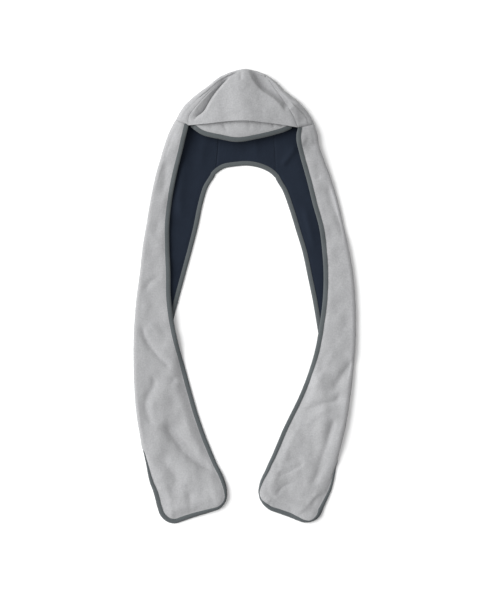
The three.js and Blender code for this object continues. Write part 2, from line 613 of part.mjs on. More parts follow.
const halves = [['left', left, 1], ['right', right, -1]];
for (const [side, strip, turn] of halves) {
  addCloth(`crown_side_${side}`, strip.slice(0, row.seam + 1), turn, 'grey');
  addCloth(`scarf_${side}`, strip.slice(row.seam), turn, 'grey');
  addCloth(`lining_${side}`, strip, turn, 'navy');
}
addCloth('crown_centre', centre, 1, 'grey');
addCloth('lining_centre', centre, 1, 'navy');
addPiece('brim', wallOf(brimSheet, {
  turn: 1,
  high: (pinch) => (brim.thick / 2) * pinch,
  low: (pinch) => (-brim.thick / 2) * pinch,
  all: brimNormals,
  runList: [runs.brim],
  borderGap: seamGap.grey,
}), 'grey');
addPiece('front_binding_left', tapeBody(runs.left, { startGap: tape.startGap, endGap: tape.startGap, slant: 1 }), 'binding');
addPiece('front_binding_right', tapeBody(runs.right, { startGap: tape.startGap, endGap: tape.startGap, slant: -1 }), 'binding');
addPiece('neck_binding', tapeBody(runs.neck, { startGap: 0, endGap: 0, slant: 1 }), 'binding');
addPiece('brim_binding', tapeBody(runs.brim, { startGap: 0, endGap: 0, slant: -1 }), 'binding');

export default group;
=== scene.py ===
import math

import bpy
import numpy as np
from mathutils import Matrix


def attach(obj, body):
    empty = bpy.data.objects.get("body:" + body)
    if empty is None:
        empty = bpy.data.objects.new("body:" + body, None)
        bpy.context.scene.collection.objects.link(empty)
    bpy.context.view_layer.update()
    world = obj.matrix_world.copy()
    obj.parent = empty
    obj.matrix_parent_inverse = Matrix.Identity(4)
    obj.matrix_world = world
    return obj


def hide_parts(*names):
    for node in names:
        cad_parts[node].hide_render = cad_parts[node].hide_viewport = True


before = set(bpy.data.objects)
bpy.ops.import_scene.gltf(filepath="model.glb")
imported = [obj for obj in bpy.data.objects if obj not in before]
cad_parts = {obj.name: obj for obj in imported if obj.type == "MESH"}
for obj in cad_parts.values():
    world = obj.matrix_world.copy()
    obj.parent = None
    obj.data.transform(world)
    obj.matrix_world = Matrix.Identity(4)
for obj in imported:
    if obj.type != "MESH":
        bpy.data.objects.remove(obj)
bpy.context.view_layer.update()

mm = 0.001  # the tables below are in millimetres, as a pattern cutter writes them

# Camera: straight above, where the photo was taken from, one pixel being 2.2 mm on the table
shot = {"pixel": 2.2, "picture": (500, 600), "aim": (11.7, -8.8), "height": 9000, "sensor": 36,
        "farClip": 50}

# Studio: a white sweep, a wide soft key from the upper left and an even fill
studio = {"floorWhite": 0.94, "floorRough": 0.9, "floorShine": 0.1, "floorSize": 14.0, "fill": 0.6,
          "key": 4.3, "keyHeight": 34, "keyBearing": 168, "keySpread": 60, "keyAway": 3,
          "horizon": 0.3, "zenith": 1.4}

# Cloth: a grey face and a navy lining on either side of one middle surface
clothCut = {"grey": 1.7, "lining": 1.6, "halfGap": 0.15, "pinched": 0.58, "pinchFull": 9.5, "pinchNone": 17,
            "seamDip": 0.95, "seamWidth": 1.4, "stitchDip": 0.3, "stitchAt": 3, "stitchWidth": 1.1,
            "liningDip": 0.8, "tipFrom": 4, "tipTo": 20, "seamGap": 0.02, "seamShift": 0.6, "tuckIn": 1.25}

# How the cloth lies: the heights of its layers, its outer fold, its curled ends and where each effect fades
lie = {"back": 2.4, "roundness": 0.8, "hem": 2.35, "flatLoft": 6.4, "lowest": 5.6, "soften": 0.8,
       "rimShare": 0.6, "hoodRimShare": 0.25, "pressFrom": 320, "pressTo": 400, "crestAt": 2.0,
       "drapeFrom": 10, "drapeTo": 46, "hoodFrom": 140, "hoodTo": 240, "spread": 22,
       "levelFrom": 9, "levelTo": 34, "liftFrom": 10, "liftTo": 22, "liningFrom": 14, "liningTo": 30,
       "unrollFrom": 70, "outFrom": 80, "outTo": 15, "overhang": 14, "inset": 1.85,
       "curlRadius": 3.3, "curlFrom": 14, "curlTo": 52, "curlInset": 2.05,
       "turnSteps": 40, "foldShape": 1.7, "trenchShape": 1.5, "edgeRound": 2.2}

# Columns and rows of the cloth meshes, with the fine steps beside seams and bound edges
bandColumns = np.array([0, 1.3, 2.6, 3.9, 5.2, 6.5, 7.8, 9.1, 10.4, 11.7, 13], float)
bandRows = np.array([0, 1.5, 3, 5, 8], float)
weave = {"inner": 60, "sideRows": 60, "neckRows": 24, "stripRows": 190, "straightRows": 7, "cornerRows": 14,
         "centre": 100, "brimAcross": 96, "brimDown": 14, "denseStep": 1.2,
         "bandShare": 0.3, "turnDense": 3.2, "turnReach": 8, "nearRows": 12, "matchShare": 0.3}
sampling = {"curve": 400, "path": 12, "outline": 81, "foldLine": 161, "hem": 160, "hemNeck": 40, "rows": 2001}
farOff = 99.0  # a distance past all that an edge or a seam does to the cloth

# One half of the hood and its scarf strip. Sections: bound front edge, outer fold, back edge.
leftHalf = {
    "sections": [
        (-123, 374.5, -152, 387, -58, 352),
        (-127, 358, -166, 360, -59.5, 322),
        (-131.5, 340, -173, 341, -62.5, 292.4),
        (-135, 325, -178.5, 324, -63.4, 280.4),
        (-140, 305, -184.5, 304, -64.2, 268.4),
        (-150, 264, -196.2, 264, -81.8, 237.6),
        (-159.9, 211.2, -207.2, 211.2, -93.5, 198),
        (-165.4, 158.4, -216, 158.4, -102.6, 154),
        (-165.4, 105.6, -224.8, 105.6, -114.8, 105.6),
        (-163.2, 52.8, -230.5, 52.8, -129.1, 52.8),
        (-162.6, 0, -237.6, 0, -143.4, 0),
        (-156.6, -52.8, -242.4, -52.8, -156.6, -52.8),
        (-145.6, -105.6, -244.6, -105.6, -166, -105.6),
        (-131.3, -158.4, -244.4, -158.4, -178, -158.4),
        (-117, -211.2, -242.2, -211.2, -190, -211.2),
        (-101.6, -264, -237.6, -264, -200, -264),
        (-83, -316.8, -228.5, -316.8, -207, -316.8),
        (-75, -336, -224.5, -338, -209.5, -338),
        (-71, -346, -222, -348, -207.5, -347),
        (-67, -355, -219.8, -358, -205.4, -357),
        (-62.5, -364, -217.5, -368, -203.2, -366),
        (-46.5, -396, -210.5, -403, -196.5, -401),
        (-38.6, -426, -198.8, -442, -185.2, -439),
        (-39, -463.5, -178, -510, -165, -506),
    ],
    "unroll": [(-505, 1), (-427, 1), (-396, 0.87), (-372, 0.74), (-343, 0.64), (-332, 0.5), (-290, 0)],
    "endRadius": (24, 38),
    "cover": [(-420, 9), (-340, 10.5), (-150, 10.5), (100, 10.5), (250, 11)],
    # where the bound edge curls down towards the table: x, y, curl, 1 being turned right over
    "curl": [(-70, -356, 0), (-56.5, -384, 0.4), (-45.5, -406, 0.54), (-40, -426, 0.73), (-40, -438.5, 0.96),
             (-44, -452, 1), (-52, -461.5, 0.92), (-67, -469, 0.77), (-90, -475, 0.58), (-114, -483, 0.4),
             (-135, -488, 0.28), (-154, -491, 0), (-188, -458, 0), (-197, -429, 0.35), (-203, -412, 0)],
    "outline": [(-152, 387), (-133.5, 417.1), (-107.1, 442), (-80.7, 461.1), (-54.3, 481.8), (-31.5, 491)],
    "frontSeam": [(-123, 374.5), (-122.5, 393.4), (-99.7, 423.9), (-65.3, 459.4), (-31.5, 491)],
    "backSeam": [(-58, 352), (-56.5, 400), (-50, 450), (-31.5, 491)],
    "turn": 1,
}
rightHalf = {
    "sections": [
        (117, 369.5, 153.5, 377.5, 64, 348),
        (113.5, 352, 160.5, 353, 67, 318),
        (114.6, 336, 163, 335, 68, 288.6),
        (118.5, 320, 167, 319, 68, 274),
        (123.4, 301, 174, 300, 68, 259.6),
        (136.4, 255.2, 190.6, 255.2, 84, 231),
        (149.6, 202.4, 206.4, 202.4, 98, 193),
        (163.9, 149.6, 218.5, 149.6, 112.2, 147),
        (170.7, 96.8, 230.3, 96.8, 127.4, 96.8),
        (173.6, 44, 239, 44, 138.6, 44),
        (171.6, -8.8, 243.4, -8.8, 149.6, -8.8),
        (165, -61.6, 244.6, -61.6, 158.6, -61.6),
        (155.8, -114.4, 243.3, -114.4, 167.5, -114.4),
        (140.8, -167.2, 238.7, -167.2, 178, -167.2),
        (120.1, -220, 232.6, -220, 186, -220),
        (94.4, -272.8, 225, -272.8, 192, -272.8),
        (69.5, -325.6, 213, -325.6, 192, -325.6),
        (58.5, -352, 206, -352, 191, -352),
        (54, -362, 204, -363, 189.5, -362),
        (49.5, -372, 202, -374, 187.7, -373),
        (45.5, -382, 200, -385, 185.8, -384),
        (34, -408, 194.5, -413, 180.6, -411),
        (30.2, -434, 184.5, -444, 171, -441),
        (38, -466, 156, -508, 143, -503),
    ],
    "unroll": [(-505, 1), (-470, 1), (-440, 0.87), (-416, 0.79), (-392, 0.73), (-374, 0.6), (-360, 0.45),
               (-320, 0)],
    "endRadius": (24, 36),
    "cover": [(-420, 11), (-340, 15), (-200, 13), (0, 11.5), (250, 11)],
    "curl": [(88.5, -301, 0), (67.3, -341, 0.42), (45.8, -394, 0.65), (34.5, -418, 1), (32.8, -433, 1.22),
             (36.5, -448, 1.12), (47, -461.5, 0.65), (73, -477, 0.44), (97, -486, 0.42), (121.5, -495, 0.77),
             (143, -499, 1.08), (155, -495, 0.96), (166, -486, 0.75), (171, -472, 0.42), (177, -449, 0.3),
             (186, -428, 0)],
    "outline": [(153.5, 377.5), (140.8, 400.4), (118.4, 426.8), (85.8, 453.2), (64, 474.5), (42.5, 487.6)],
    "frontSeam": [(117, 369.5), (106.3, 395.3), (82.7, 432.7), (55.2, 472.1), (42.5, 487.6)],
    "backSeam": [(64, 348), (63.5, 400), (58, 450), (42.5, 487.6)],
    "turn": -1,
}
neckRow, lastFoldRow, lastRow = 4, 17, 23
hood = {
    "apex": [(-31.5, 491), (-14.7, 496.2), (-1.5, 499.6), (18, 496.4), (42.5, 487.6)],
    "frontEdge": [(-123, 374.5), (-103, 376), (-74.1, 378.4), (-34.5, 382.8), (0, 384), (38, 380.8),
                  (80, 375.5), (117, 369.5)],
    "neckEdge": [(-64.2, 268.4), (-45.5, 280.5), (-19.1, 285.2), (7.3, 286.8), (33.7, 281.6), (55, 271.5),
                 (68, 259.6)],
    "tipSetback": 16,
}

# Heights of the hood's front cloth over the table, as loose posts: x, y, height
posts = np.array([
    (-5, 395, 41), (-10, 440, 38), (-5, 470, 30), (0, 495, 19), (-34, 488, 14), (44, 484, 11),
    (-60, 388, 36), (-95, 384, 30), (-123, 378, 26), (-60, 430, 33), (-90, 410, 30), (-45, 465, 22),
    (-100, 440, 20), (-135, 405, 19), (-152, 385, 18), (-75, 462, 20),
    (50, 388, 37), (90, 382, 32), (115, 372, 27), (55, 430, 34), (85, 405, 32), (40, 462, 21),
    (80, 455, 16), (106, 420, 23), (135, 405, 13), (153, 375, 14),
    (-135, 350, 25), (-165, 355, 17), (-140, 310, 18), (-178, 318, 14),
    (-152, 260, 12.5), (-192, 265, 11), (-165, 200, 9), (-205, 200, 9),
    (122, 345, 25), (158, 350, 17), (128, 305, 18), (168, 312, 14),
    (142, 258, 12.5), (188, 258, 11), (158, 200, 9), (204, 200, 9),
], float)

# Edges that lie over the cloth beside them, which slopes down to them: the line, the drop, how far the slope
# reaches on the line's left (on its right where negative), the trench's depth and width, the fade at the ends
overlaps = [
    ([(-24, 490), (-53, 460), (-72, 435), (-91, 404), (-104, 394), (-114, 382)], 7, -26, 8, 7, 30),
]

# Edges where the cloth rolls over and falls away: the line, the drop, how far it rolls, how far the valley
# reaches on the line's left, the fade at the ends
rolls = [
    ([(3, 503), (16, 476), (34, 452), (58, 436), (77, 419), (88, 402)], 18, 8, 30, 16),
    ([(84, 456), (96, 436.6), (105, 422.5), (113, 408.4), (117, 378)], 5, 15, 45, 14),
    ([(123, 332), (141.5, 323), (167.4, 326)], 5, 4, 16, 8),
    ([(186, -418), (170, -430), (151, -442), (141, -456), (113, -480)], 8, 9, 34, 16),
]

# Folds: the line, how deep (a ridge is negative), how far it reaches on the line's left and right, the fade
# at its ends
folds = [
    # hood
    ([(-75, 461), (-99, 438), (-114, 420)], -1.6, 7, 7, 20),
    ([(-45, 478), (-73, 451), (-97, 425), (-117, 400)], -1.6, 4, 6, 20),
    ([(-123, 374.5), (-137, 382), (-152, 387)], 2.2, 2, 2.4, 4),
    ([(117, 369.5), (133, 373.5), (153, 377.5)], 3.2, 2, 3, 4),
    ([(2, 472), (8, 432), (20, 405)], 1.5, 13, 15, 20),
    ([(-7, 494), (-9, 470)], 1.3, 4, 4, 8),
    ([(10, 412), (-20, 399), (-60, 400)], 1, 12, 12, 26),
    # left strip, from the top down
    ([(-158, 362), (-164, 336)], 2.4, 9, 10, 16),
    ([(-166, 305), (-173, 285), (-178, 240), (-186, 210)], 3, 10, 11, 28),
    ([(-184, 172), (-194, 148), (-206, 136)], 2.8, 11, 11, 18),
    ([(-198, 110), (-212, 70)], 1.8, 11, 11, 24),
    ([(-180, 46), (-209, 28), (-223, 8)], 2.8, 7, 8, 18),
    ([(-213, -56), (-174, -95)], -1.6, 9, 9, 14),
    ([(-226.8, -62), (-217, -95), (-201, -119), (-180, -142), (-158, -162)], 3.6, 6, 7, 18),
    ([(-201, -165), (-200, -194), (-217, -235), (-212, -263), (-201, -292)], 3.6, 9, 9, 22),
    ([(-160, -174), (-152, -196)], 3, 8, 8, 10),
    ([(-222, -280), (-114, -283)], 0.5, 1.6, 1.6, 20),
    ([(-180, -273), (-155, -306), (-138, -327), (-124, -343), (-108, -358), (-80, -376), (-62, -392)],
     8, 16, 11, 30),
    ([(-186, -342), (-140, -374), (-100, -404), (-72, -428)], -3, 13, 14, 60),
    ([(-217, -345), (-207, -382)], -3, 6, 6, 12),
    ([(-186, -338), (-172, -366), (-157, -388), (-152, -406), (-158, -424), (-172, -438)], 5.4, 20, 14, 30),
    ([(-206, -387), (-180, -393)], 1, 1.8, 1.8, 7),
    ([(-183, -451), (-160, -446)], 1.2, 2, 2, 7),
    ([(-121, -424), (-119, -452), (-118, -474)], 3.2, 10, 10, 20),
    ([(-129, -424), (-122, -413)], 0.8, 1.8, 1.8, 4),
    # right strip, from the top down
    ([(160, 270), (163, 254)], 1.8, 6, 6, 8),
    ([(182, 246), (194, 200), (211, 155), (219, 120)], 3.4, 8, 9, 22),
    ([(243, -136), (220, -166), (205, -191), (195, -214)], 5, 13, 10, 22),
    ([(204, -112), (176, -158), (150, -208)], -2.2, 9, 10, 24),
    ([(183, -152), (152, -177)], 2.2, 6, 6, 14),
    ([(214, -208), (201, -229), (165, -240), (124, -257)], 4, 8, 8, 20),
    ([(190, -240), (160, -262), (125, -290)], -2, 9, 9, 20),
    ([(118, -272), (104, -300)], 2.6, 8, 8, 12),
    ([(91, -316), (79, -343)], 1.8, 5, 5, 9),
    ([(200, -262), (189, -294), (181, -326), (169, -361), (162, -387), (145, -420)], 5.6, 9, 10, 24),
    ([(68.5, -360), (75.5, -384)], 1.8, 4, 4, 7),
    ([(135, -366), (97, -389), (72, -397)], 2.2, 2.6, 9, 9),
    ([(118, -352), (112, -366)], 2, 9, 9, 8),
    ([(110, -408), (81.5, -422), (68, -440)], 1.6, 3.5, 3.5, 9),
    ([(53.5, -390), (53.5, -426), (67, -449)], 2.6, 6, 6, 12),
]

# The same for the lining at the back of the hood, which only rises off the table, and for the brim
liningFolds = [
    ([(114, 330), (98, 308), (80, 284)], -3.2, 6, 6, 12),
    ([(-84, 372), (-90, 330), (-104, 270)], -2.4, 11, 11, 40),
    ([(-126, 318), (-138, 262), (-143, 210), (-140, 160)], -3.4, 13, 9, 40),
    ([(20, 372), (26, 300)], -2, 12, 12, 26),
    ([(128, 210), (142, 150), (152, 90)], -2.4, 9, 9, 40),
]
brimFolds = [
    ([(-47, 384), (-45.5, 373), (-36, 361)], 1.7, 3, 3.4, 7),
    ([(62, 382), (64.5, 366)], 1.5, 3, 3, 6),
    ([(76, 381), (86, 370)], 1.3, 3, 3, 5),
    ([(-78, 382), (-68, 364)], 1.1, 4, 4, 7),
    ([(8, 388), (13, 364)], 1.1, 5, 5, 9),
    ([(34, 384), (38, 362)], 0.8, 4, 4, 8),
]

# Slow unevenness of cloth that has been worn and laid down by hand: wave length and height
ripples = {"seed": 11, "rows": [(86, 1.0), (47, 0.62), (27, 0.24)], "waves": 5, "fadeAt": 30,
           "hoodFrom": 345, "hoodTo": 395, "hoodShare": 0.5}
plush = {"seed": 5, "rows": [(17, 0.1), (9, 0.07)], "waves": 6, "fadeAt": 8}


def mix(a, b, t):
    return a + (b - a) * t


def smooth(start, stop, value):
    t = np.clip((value - start) / (stop - start), 0, 1)
    return t * t * (3 - 2 * t)


def quarterRound(t):
    return np.sqrt(1 - (1 - np.clip(t, 0, 1)) ** 2)


def through(points, t):
    # centripetal Catmull-Rom curve; t counts the points
    points = np.asarray(points, float)
    ends = (2 * points[0] - points[1], 2 * points[-1] - points[-2])
    padded = np.vstack([ends[0], points, ends[1]])
    knots = ((padded[1:] - padded[:-1]) ** 2).sum(1) ** 0.25
    t = np.atleast_1d(np.asarray(t, float))
    i = np.clip(np.floor(t).astype(int), 0, len(points) - 2)
    w = (t - i)[:, None]
    p0, p1, p2, p3 = (padded[i + k] for k in range(4))
    d0, d1, d2 = (knots[i + k][:, None] for k in range(3))
    m1 = ((p1 - p0) / d0 - (p2 - p0) / (d0 + d1) + (p2 - p1) / d1) * d1
    m2 = ((p2 - p1) / d1 - (p3 - p1) / (d1 + d2) + (p3 - p2) / d2) * d1
    cubic = 2 * p1 - 2 * p2 + m1 + m2
    return p1 + m1 * w + (-3 * p1 + 3 * p2 - 2 * m1 - m2) * w ** 2 + cubic * w ** 3


def walkedLength(line):
    return np.concatenate([[0], np.cumsum(np.linalg.norm(np.diff(line, axis=0), axis=1))])


def evenly(points, share):
    # places on the curve at a share of its length
    t = np.linspace(0, len(points) - 1, sampling["curve"])
    walked = walkedLength(through(points, t))
    return through(points, np.interp(np.atleast_1d(share) * walked[-1], walked, t))


def curveLength(points):
    return walkedLength(through(points, np.linspace(0, len(points) - 1, sampling["curve"])))[-1]


def sampled(line, walked, x):
    # the line's columns at the lengths x along it
    return np.column_stack([np.interp(x, walked, column) for column in line.T])


def nearestOn(line, place):
    start = line[:-1]
    run = line[1:] - start
    square = np.maximum((run ** 2).sum(1), 1e-9)
    dx = place[:, 0, None] - start[:, 0]
    dy = place[:, 1, None] - start[:, 1]
    t = np.clip((dx * run[:, 0] + dy * run[:, 1]) / square, 0, 1)
    gaps = np.hypot(dx - run[:, 0] * t, dy - run[:, 1] * t)
    best = gaps.argmin(1)
    pick = np.arange(len(place))
    side = run[best, 0] * dy[pick, best] - run[best, 1] * dx[pick, best]
    lengths = np.sqrt(square)
    along = np.concatenate([[0], np.cumsum(lengths)])[best] + lengths[best] * t[pick, best]
    return gaps[pick, best], side, along, lengths.sum()


def waveField(settings):
    rng = np.random.default_rng(settings["seed"])
    waves = []
    for length, height in settings["rows"]:
        for _ in range(settings["waves"]):
            angle = rng.uniform(0, math.pi)
            waves.append((math.cos(angle) / length, math.sin(angle) / length, rng.uniform(0, 2 * math.pi),
                          height / math.sqrt(settings["waves"])))
    return waves


def waveHeight(waves, place):
    total = np.zeros(len(place))
    for kx, ky, phase, height in waves:
        total += height * np.sin(2 * math.pi * (place[:, 0] * kx + place[:, 1] * ky) + phase)
    return total


slowWaves = waveField(ripples)
plushWaves = waveField(plush)


def finePaths(table):
    paths = []
    for line, *rest in table:
        spans = len(line) - 1
        paths.append((through(line, np.linspace(0, spans, sampling["path"] * spans + 1)), *rest))
    return paths


foldPaths, overlapPaths, rollPaths = finePaths(folds), finePaths(overlaps), finePaths(rolls)
liningPaths, brimPaths = finePaths(liningFolds), finePaths(brimFolds)


def besidePath(path, place, fadeLength):
    # how far from the path, on which side of it, and how much is left of it towards its ends
    gap, side, along, length = nearestOn(path, place)
    return gap, side, smooth(0, fadeLength, along) * smooth(0, fadeLength, length - along)


def foldRelief(paths, place):
    total = np.zeros(len(place))
    for path, depth, left, right, fadeLength in paths:
        gap, side, fade = besidePath(path, place, fadeLength)
        reach = np.where(side > 0, left, right)
        total -= depth * fade * np.exp(-(gap / reach) ** lie["foldShape"])
    return total


def relief(place):
    total = foldRelief(foldPaths, place)
    for path, drop, slope, trench, width, fadeLength in overlapPaths:
        gap, side, fade = besidePath(path, place, fadeLength)
        low = drop * np.exp(-gap / abs(slope)) + trench * np.exp(-(gap / width) ** lie["trenchShape"])
        high = (drop + trench) * np.exp(-(gap / lie["edgeRound"]) ** 2)
        total -= fade * np.where(side * slope > 0, low, high)
    for path, drop, roll, valley, fadeLength in rollPaths:
        gap, side, fade = besidePath(path, place, fadeLength)
        total -= drop * fade * (side > 0) * (1 - np.exp(-gap / roll)) * np.exp(-(gap / valley) ** 2)
    return total


def softFloor(value, floor):
    # never under the floor value, with a soft turn where it would be
    return floor + lie["soften"] * np.logaddexp(0, (value - floor) / lie["soften"])


def coverHeight(place):
    heights = [np.interp(place[:, 1], *np.array(half["cover"]).T) for half in (leftHalf, rightHalf)]
    return np.where(place[:, 0] < 0, *heights)


def openHeight(place, bend):
    square = ((place[:, None, :] - posts[None, :, :2]) ** 2).sum(2)
    weight = np.exp(-square / (2 * lie["spread"] ** 2)) + 1e-12
    stood = (weight * posts[:, 2]).sum(1) / weight.sum(1)
    height = mix(coverHeight(place), stood, smooth(lie["hoodFrom"], lie["hoodTo"], place[:, 1]))
    return softFloor(height + bend, lie["lowest"])


def stripCurves(half):
    table = np.array(half["sections"], float)
    return table[:, 0:2], table[:, 2:4], table[:, 4:6]


def wholeOutline():
    fine = np.linspace(0, 1, sampling["outline"])
    t = np.linspace(0, lastRow, sampling["foldLine"])
    left, right = stripCurves(leftHalf)[1], stripCurves(rightHalf)[1]
    return np.vstack([
        through(left, t)[::-1], evenly(leftHalf["outline"], fine), evenly(hood["apex"], fine),
        evenly(rightHalf["outline"], fine)[::-1], through(right, t),
    ])


def backHem():
    t = np.linspace(neckRow, lastFoldRow, sampling["hem"])
    left, right = stripCurves(leftHalf)[2], stripCurves(rightHalf)[2]
    neck = evenly(hood["neckEdge"], np.linspace(0, 1, sampling["hemNeck"]))
    return np.vstack([through(left, t)[::-1], neck, through(right, t)])


outline = wholeOutline()
hem = backHem()


def insideOutline(place):
    # the cloth's face makes the outline, so its middle surface turns a little inside it
    return np.maximum(nearestOn(outline, place)[0] - lie["inset"], 0)


def bendAt(place):
    # folds and slow unevenness together; the outer fold itself stays even, and the crown is smoother
    calm = mix(1, ripples["hoodShare"], smooth(ripples["hoodFrom"], ripples["hoodTo"], place[:, 1]))
    inside = smooth(0, ripples["fadeAt"], insideOutline(place))
    return relief(place) + waveHeight(slowWaves, place) * calm * inside


def rimHeight(y, height):
    # the outer fold stands fuller on the strips than on the hood, whose edge lies pressed flat
    share = mix(lie["rimShare"], lie["hoodRimShare"], smooth(lie["pressFrom"], lie["pressTo"], y))
    return mix(lie["back"], height, share)


def foldedTop(place, height):
    gap = insideOutline(place)
    rim = rimHeight(place[:, 1], height)
    return mix(rim, height, quarterRound(gap / ((height - lie["back"]) * lie["roundness"])))


def foldedUnder(place, height):
    gap = insideOutline(place)
    rim = rimHeight(place[:, 1], height)
    toHem = nearestOn(hem, place)[0]
    lift = (lie["hem"] - lie["back"]) * (1 - smooth(lie["liftFrom"], lie["liftTo"], toHem))
    lift = lift + foldRelief(liningPaths, place) * smooth(lie["liningFrom"], lie["liningTo"], toHem)
    return mix(rim, lie["back"] + lift, quarterRound(gap / (rim - lie["back"])))


def steady(start, stop):
    count = max(2, int(abs(stop - start) / weave["denseStep"]) + 2)
    return np.linspace(start, stop, count)


def foldedSection(front, fold, back):
    # from the front edge over the outer fold to the back edge, as a close polyline
    width = np.linalg.norm(front - fold)
    inward = (front - fold) / width

    def topHeight(gap):
        place = fold + np.outer(gap, inward)
        bend = bendAt(place)
        covered = 1 - smooth(lie["drapeFrom"], lie["drapeTo"], (place - back) @ inward)
        soft = smooth(lie["levelFrom"], lie["levelTo"], width - gap)
        loose = softFloor(lie["hem"] + soft * (lie["flatLoft"] + bend), lie["hem"])
        return place, mix(loose, openHeight(place, bend), covered)

    crest = topHeight(np.array([lie["crestAt"]]))[1][0]
    rimZ = rimHeight(fold[1], crest)
    rimReach = min((crest - lie["back"]) * lie["roundness"], width / 2)
    underReach = min(rimZ - lie["back"], width / 2)
    place, height = topHeight(steady(width, rimReach))
    top = np.column_stack([place, foldedTop(place, height)])
    angle = np.radians(np.linspace(-90, 90, lie["turnSteps"] + 1)[1:])
    gap = np.where(angle < 0, rimReach, underReach) * (1 - np.cos(angle))
    drop = np.where(angle < 0, crest - rimZ, rimZ - lie["back"]) * np.sin(angle)
    rim = np.column_stack([fold + np.outer(gap, inward), rimZ - drop])
    start = fold + inward * underReach
    run = back - start
    share = steady(0, np.linalg.norm(run))[1:] / np.linalg.norm(run)
    place = start + np.outer(share, run)
    under = np.column_stack([place, foldedUnder(place, np.full(len(place), crest))])
    line = np.vstack([top, rim, under])
    walked = walkedLength(line)
    return line, walked, walked[len(top) + lie["turnSteps"] // 2 - 1]


def flatSection(front, fold, endLine):
    width = np.linalg.norm(front - fold)
    gap = steady(0, width)
    place = front + np.outer(gap / width, fold - front)
    inside = np.minimum(np.minimum(gap, width - gap), nearestOn(endLine, place)[0])
    soft = smooth(lie["levelFrom"], lie["levelTo"], inside)
    worn = relief(place) + waveHeight(slowWaves, place)
    line = np.column_stack([place, softFloor(lie["hem"] + soft * (lie["flatLoft"] + worn), lie["hem"])])
    return line, walkedLength(line)


def columnsOf(total, crestAt, rimWeight):
    # fine at both edges, closer where the cloth turns over its outer fold
    band = bandColumns * min(1, weave["bandShare"] * total / bandColumns[-1])
    x = np.linspace(band[-1], total - band[-1], sampling["curve"] // 2)
    density = 1 + weave["turnDense"] * rimWeight * np.exp(-((x - crestAt) / weave["turnReach"]) ** 2)
    walked = np.concatenate([[0], np.cumsum((density[1:] + density[:-1]) / 2)])
    inner = np.interp(np.linspace(0, walked[-1], weave["inner"] + 1), walked, x)
    return np.concatenate([band, inner[1:-1], total - band[::-1]])


def sectionRow(front, fold, back, share, endLine):
    if share >= 1:
        line, walked = flatSection(front, fold, endLine)
        x = columnsOf(walked[-1], 0, 0)
        return sampled(line, walked, x), x
    inward = (front - fold) / np.linalg.norm(front - fold)
    turned = fold + inward * lie["inset"] * (1 - share)
    line, walked, crestAt = foldedSection(front, turned, back)
    total = walked[-1]
    x = columnsOf(total, crestAt, 1 - share)
    place = sampled(line, walked, x)
    if share > 0:
        flatLine, flatWalked = flatSection(front, fold, endLine)
        width = flatWalked[-1]
        xFlat = x - (total - width) * smooth(width - lie["unrollFrom"], total, x)
        place = mix(place, sampled(flatLine, flatWalked, xFlat), share)
        out = ((place[:, :2] - turned) @ inward).min()
        place[:, :2] -= np.outer(smooth(total - lie["outFrom"], total - lie["outTo"], x) * out, inward)
        x = mix(x, xFlat, share)
    return place, x


def rowPlaces(half):
    # every row's three places in plan, then the row numbers that other pieces meet
    frontPath, foldPath, backPath = stripCurves(half)
    rows = []
    outlineLength = curveLength(half["outline"])
    t = np.concatenate([bandRows / outlineLength,
                        np.linspace(bandRows[-1] / outlineLength, 1, weave["sideRows"] - 3)[1:]])[::-1]
    short = {name: 1 - hood["tipSetback"] / curveLength(half[name]) for name in ("frontSeam", "backSeam")}
    front = evenly(half["frontSeam"], t * short["frontSeam"])
    fold = evenly(half["outline"], t)
    back = evenly(half["backSeam"], t * short["backSeam"])
    rows += [(front[i], fold[i], back[i]) for i in range(len(t) - 1)]
    seamRow = len(rows)
    fine = np.linspace(0, lastRow, sampling["rows"])
    walked = walkedLength(through(foldPath, fine))
    at = {name: np.interp(number, fine, walked) for name, number in
          (("neck", neckRow), ("straight", lastRow - 1))}
    toNeck = np.concatenate([bandRows, np.linspace(bandRows[-1], at["neck"], weave["neckRows"] - 3)[1:]])
    toEnd = np.linspace(at["neck"], at["straight"], weave["stripRows"] + 1)[1:]
    t = np.interp(np.concatenate([toNeck, toEnd]), walked, fine)
    t[len(toNeck) - 1] = neckRow
    rows += list(zip(through(frontPath, t), through(foldPath, t), through(backPath, t)))
    neckAt = seamRow + len(toNeck) - 1
    return rows, seamRow, neckAt


def endPlaces(half, before):
    # straight rows up to the corners, then rows set in at both sides along two quarter circles
    end = [np.array(half["sections"][-1][k:k + 2], float) for k in (0, 2)]
    radii = half["endRadius"]
    ways = [(before[k] - end[k]) / np.linalg.norm(before[k] - end[k]) for k in (0, 1)]
    corner = [end[k] + ways[k] * radii[k] for k in (0, 1)]
    rows = []
    for i in range(1, weave["straightRows"] + 1):
        share = i / weave["straightRows"]
        rows.append([mix(before[k], corner[k], share) for k in (0, 1)])
    for i in range(1, weave["cornerRows"] + 1):
        angle = math.radians(90 * (1 - i / weave["cornerRows"]))
        places = [end[k] + ways[k] * radii[k] * (1 - math.cos(angle)) for k in (0, 1)]
        over = (places[1] - places[0]) / np.linalg.norm(places[1] - places[0])
        rows.append([places[0] + over * radii[0] * (1 - math.sin(angle)),
                     places[1] - over * radii[1] * (1 - math.sin(angle))])
    return rows, np.array(end)


def curled(depth, curl):
    # a bound edge that curls down: distance in plan from the outline, rise from the edge, turn from level
    turn = math.pi * curl
    radius = lie["curlRadius"]
    ahead = np.maximum(turn - depth / radius, 0)
    upright = np.sin(np.minimum(turn, math.pi / 2))
    plan = (radius + lie["curlInset"]) * upright - radius * np.sin(ahead)
    plan = plan + np.maximum(depth - radius * turn, 0)
    return plan, radius * (np.cos(ahead) - np.cos(np.minimum(turn, math.pi))), ahead


def rimCurl(half, rim):
    # the curl at every place of the rim, from the half's own short table
    table = np.array(half["curl"], float)
    along = nearestOn(rim, table[:, :2])[2]
    return np.interp(walkedLength(rim), along, table[:, 2])


